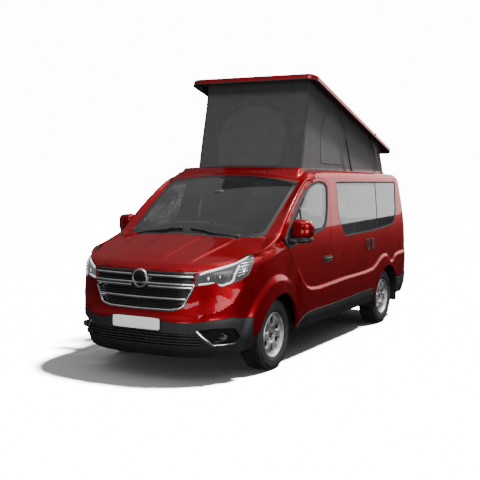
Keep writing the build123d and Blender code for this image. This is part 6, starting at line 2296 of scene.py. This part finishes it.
@dataclass
class Kitchen:
    """Cabinet along the left wall with doors, worktop, hob and sink."""

    def build(self) -> None:
        """Make the kitchen block."""
        body = Shape()
        soft_block(body, (637, 725, 812), (209, 392, 368), 30, 10)
        soft_block(body, (507, 1612, 812), (81, 484, 368), 30, 10)
        fit(body.mesh("cabinet_body", tidy=True), "body", Finishes.OAK, "cabinet")
        top = Shape()
        soft_block(top, (635, 725, 1192), (215, 397, 13), 16, 12)
        soft_block(top, (505, 1614, 1192), (86, 488, 13), 16, 12)
        fit(top.mesh("cabinet_top", tidy=True), "body", Finishes.TOP)
        doors, knobs = Shape(), Shape()
        for y0, y1, z0, z1 in ((345, 595, 480, 900), (605, 855, 480, 1160), (865, 1110, 480, 1160),
                               (345, 595, 912, 1160), (1130, 1600, 480, 800), (1612, 2080, 480, 800),
                               (1130, 1600, 812, 1160), (1612, 2080, 812, 1160)):
            soft_block(doors, (424, (y0 + y1) / 2, (z0 + z1) / 2), (8, (y1 - y0) / 2 - 4, (z1 - z0) / 2 - 4), 24, 8)
            soft_block(knobs, (413, (y0 + y1) / 2, z1 - 40), (6, 16, 16), 2.6, 10)
        fit(doors.mesh("cabinet_doors", tidy=True), "body", Finishes.OAK)
        fit(knobs.mesh("cabinet_knobs", tidy=True), "body", Finishes.STEEL)
        hob = Shape()
        soft_block(hob, (640, 560, 1206), (150, 160, 5), 16, 10)
        rows = []
        for r, h in ((148, 1204), (146, 1210), (128, 1211), (120, 1190), (20, 1168), (0.1, 1168)):
            rows.append([(640 + r * math.cos(a), 920 + r * math.sin(a), h)
                         for a in (2 * math.pi * k / 48 for k in range(48))])
        hob.grid(rows, around=True)
        fit(hob.mesh("hob_and_sink", tidy=True), "body", Finishes.STEEL)
        tap = Shape()
        tube(tap, [(770, 920, 1205), (770, 920, 1300), (740, 920, 1326), (690, 920, 1312), (684, 920, 1290)], 9, 12)
        fit(tap.mesh("tap", tidy=True), "body", Finishes.STEEL)


@dataclass
class Underneath:
    """Finishes of the plain nodes that keep their shape."""

    def build(self) -> None:
        """Dress them all."""
        for node, finish in (("floor_pan", Finishes.IRON), ("roof_panel", Finishes.PAINT),
                             ("wings", Finishes.PAINT), ("sliding_door", Finishes.PAINT),
                             ("door_left", Finishes.PAINT), ("door_right", Finishes.PAINT),
                             ("bonnet", Finishes.PAINT), ("tailgate", Finishes.PAINT),
                             ("engine_block", Finishes.CAST), ("front_subframe", Finishes.IRON),
                             ("rear_axle", Finishes.IRON), ("underbody", Finishes.IRON),
                             ("strut_cylinders", Finishes.TRIM), ("strut_rods", Finishes.TRIM),
                             ("lower_stays", Finishes.TRIM), ("upper_stays", Finishes.TRIM),
                             ("knuckle_left", Finishes.IRON), ("knuckle_right", Finishes.IRON)):
            redress(node, finish)


# ---------------------------------------------------------------- studio


@dataclass
class Studio:
    """Pale floor, soft lights and the camera."""

    place: tuple = (4.541, -8.871, 1.895)
    azimuth: float = 28.685
    elevation: float = 4.418
    roll: float = 0.311
    lens: float = 64.15

    def build(self) -> None:
        """Set up the room."""
        self.camera()
        self.floor()
        self.lights()

    def camera(self) -> None:
        """Camera looking at the left front of the van."""
        a, e, r = (math.radians(v) for v in (self.azimuth, self.elevation, self.roll))
        back = Vector((math.sin(a) * math.cos(e), -math.cos(a) * math.cos(e), math.sin(e)))
        right = Vector((0, 0, 1)).cross(back).normalized()
        up = back.cross(right)
        right, up = right * math.cos(r) + up * math.sin(r), up * math.cos(r) - right * math.sin(r)
        data = bpy.data.cameras.new("camera")
        data.lens, data.sensor_width, data.sensor_fit = self.lens, 36.0, "AUTO"
        data.clip_end = 200
        camera = bpy.data.objects.new("camera", data)
        bpy.context.scene.collection.objects.link(camera)
        turn = Matrix((right, up, back)).transposed().to_4x4()
        camera.matrix_world = Matrix.Translation(self.place) @ turn
        bpy.context.scene.camera = camera

    def floor(self) -> None:
        """Wide pale floor."""
        mesh = bpy.data.meshes.new("floor")
        mesh.from_pydata([(-60, -60, 0), (60, -60, 0), (60, 60, 0), (-60, 60, 0)], [], [(0, 1, 2, 3)])
        floor = bpy.data.objects.new("floor", mesh)
        bpy.context.scene.collection.objects.link(floor)
        b = ShaderBoard("studio_floor")
        b.set(Base_Color=(0.80, 0.80, 0.80, 1), Roughness=0.9, Specular_IOR_Level=0.1)
        mesh.materials.append(b.material)
        floor.visible_glossy = False
        floor.visible_diffuse = False

    def lights(self) -> None:
        """Soft sky and large soft boxes."""
        world = bpy.data.worlds.new("studio")
        bpy.context.scene.world = world
        world.use_nodes = True
        board = NodeBoard(world.node_tree)
        way = board.add("ShaderNodeSeparateXYZ", Vector=board.add("ShaderNodeTexCoord").outputs["Generated"])
        ramp = board.add("ShaderNodeValToRGB", Fac=board.math("ADD", board.math("MULTIPLY", way.outputs[2], 0.5), 0.5))
        marks = ramp.color_ramp
        marks.elements[0].position, marks.elements[0].color = 0.46, (0.05, 0.05, 0.052, 1)
        marks.elements[1].position, marks.elements[1].color = 0.97, (0.55, 0.55, 0.55, 1)
        middle = marks.elements.new(0.68)
        middle.color = (0.22, 0.22, 0.225, 1)
        seen = board.add("ShaderNodeLightPath").outputs["Is Camera Ray"]
        mix = board.add("ShaderNodeMix", {"data_type": "RGBA"})
        board.feed(mix.inputs["Factor"], seen)
        board.feed(mix.inputs[6], ramp.outputs[0])
        board.feed(mix.inputs[7], (14.0, 14.0, 14.0, 1))
        sky = board.add("ShaderNodeBackground", Color=mix.outputs[2], Strength=1.0)
        end = board.add("ShaderNodeOutputWorld")
        board.tree.links.new(sky.outputs[0], end.inputs[0])
        roof = self.box("roof_box", (2.5, 2.5, 8.0), (0, 0, 0), (7, 9), 300)
        rest = [self.box("rear_box", (3.0, 13.0, 5.4), (1.0, 0, 5.0), (14, 7.2), 1100),
                self.box("left_box", (8.6, -6.6, 2.6), (0, -0.8, 0.9), (6.5, 3.6), 560),
                self.box("high_box", (1.5, -7.5, 8.5), (0, -1.5, 1.5), (6, 3), 520)]
        self.spare([roof], ("floor", "windscreen_pane"))
        self.spare(rest, ("floor",))
        self.box("front_box", (0.8, -11.5, 1.7), (0.2, -2.4, 0.8), (3.4, 1.5), 130)
        self.sun("van_sun", 4.0, None)
        only = bpy.data.collections.new("floor_only")
        only.objects.link(bpy.data.objects["floor"])
        self.sun("floor_sun", 66.0, only)

    def sun(self, name: str, power: float, receivers: bpy.types.Collection | None) -> None:
        """High light from behind on the left.

        Args:
            name: name of the light.
            power: its strength.
            receivers: collection that it is kept to, or None for all.
        """
        data = bpy.data.lights.new(name, "SUN")
        data.energy, data.angle = power, math.radians(7)
        light = bpy.data.objects.new(name, data)
        bpy.context.scene.collection.objects.link(light)
        light.rotation_euler = Vector((0.34, 0.38, 1.0)).to_track_quat("Z", "Y").to_euler()
        if receivers:
            light.light_linking.receiver_collection = receivers

    def spare(self, lights: Sequence[bpy.types.Object], names: Sequence[str]) -> None:
        """Keep some objects out of the reach of lights.

        Args:
            lights: the lights.
            names: names of the objects that they leave alone.
        """
        kept = bpy.data.collections.new("spared_" + lights[0].name)
        for name in names:
            kept.objects.link(bpy.data.objects[name])
        for held in kept.collection_objects:
            held.light_linking.link_state = "EXCLUDE"
        for light in lights:
            light.light_linking.receiver_collection = kept

    def box(self, name: str, place: Sequence[float], target: Sequence[float], size: Sequence[float],
            power: float) -> bpy.types.Object:
        """One soft box facing a target.

        Args:
            name: name of the light.
            place: where it stands.
            target: what it faces.
            size: width and height.
            power: its strength.

        Returns:
            The light.
        """
        data = bpy.data.lights.new(name, "AREA")
        data.shape, data.size, data.size_y, data.energy = "RECTANGLE", size[0], size[1], power
        light = bpy.data.objects.new(name, data)
        bpy.context.scene.collection.objects.link(light)
        light.location = place
        light.rotation_euler = (Vector(place) - Vector(target)).to_track_quat("Z", "Y").to_euler()
        return light


def main() -> None:
    """Build and dress the whole van."""
    logging.basicConfig(level=logging.INFO, format="%(name)s: %(message)s")
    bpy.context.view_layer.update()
    doors, mirrors, walls = CabDoors(), Mirrors(), SideWalls()
    for side in Side:
        doors.build(side)
        mirrors.build(side)
        walls.build(side)
    Upperworks().build()
    Face().build()
    wheel = Wheel()
    for name, centre, side in (("front_left", (807.5, -1526, 345), Side.LEFT),
                               ("front_right", (-807.5, -1526, 345), Side.RIGHT),
                               ("rear_left", (814, 1572, 345), Side.LEFT),
                               ("rear_right", (-814, 1572, 345), Side.RIGHT)):
        wheel.build(name, centre, side)
    for part in (Tail(), RaisedRoof(), Tent(), Seats(), Cabin(), Kitchen(), Underneath()):
        part.build()
    Studio().build()


if __name__ == "__main__":
    main()
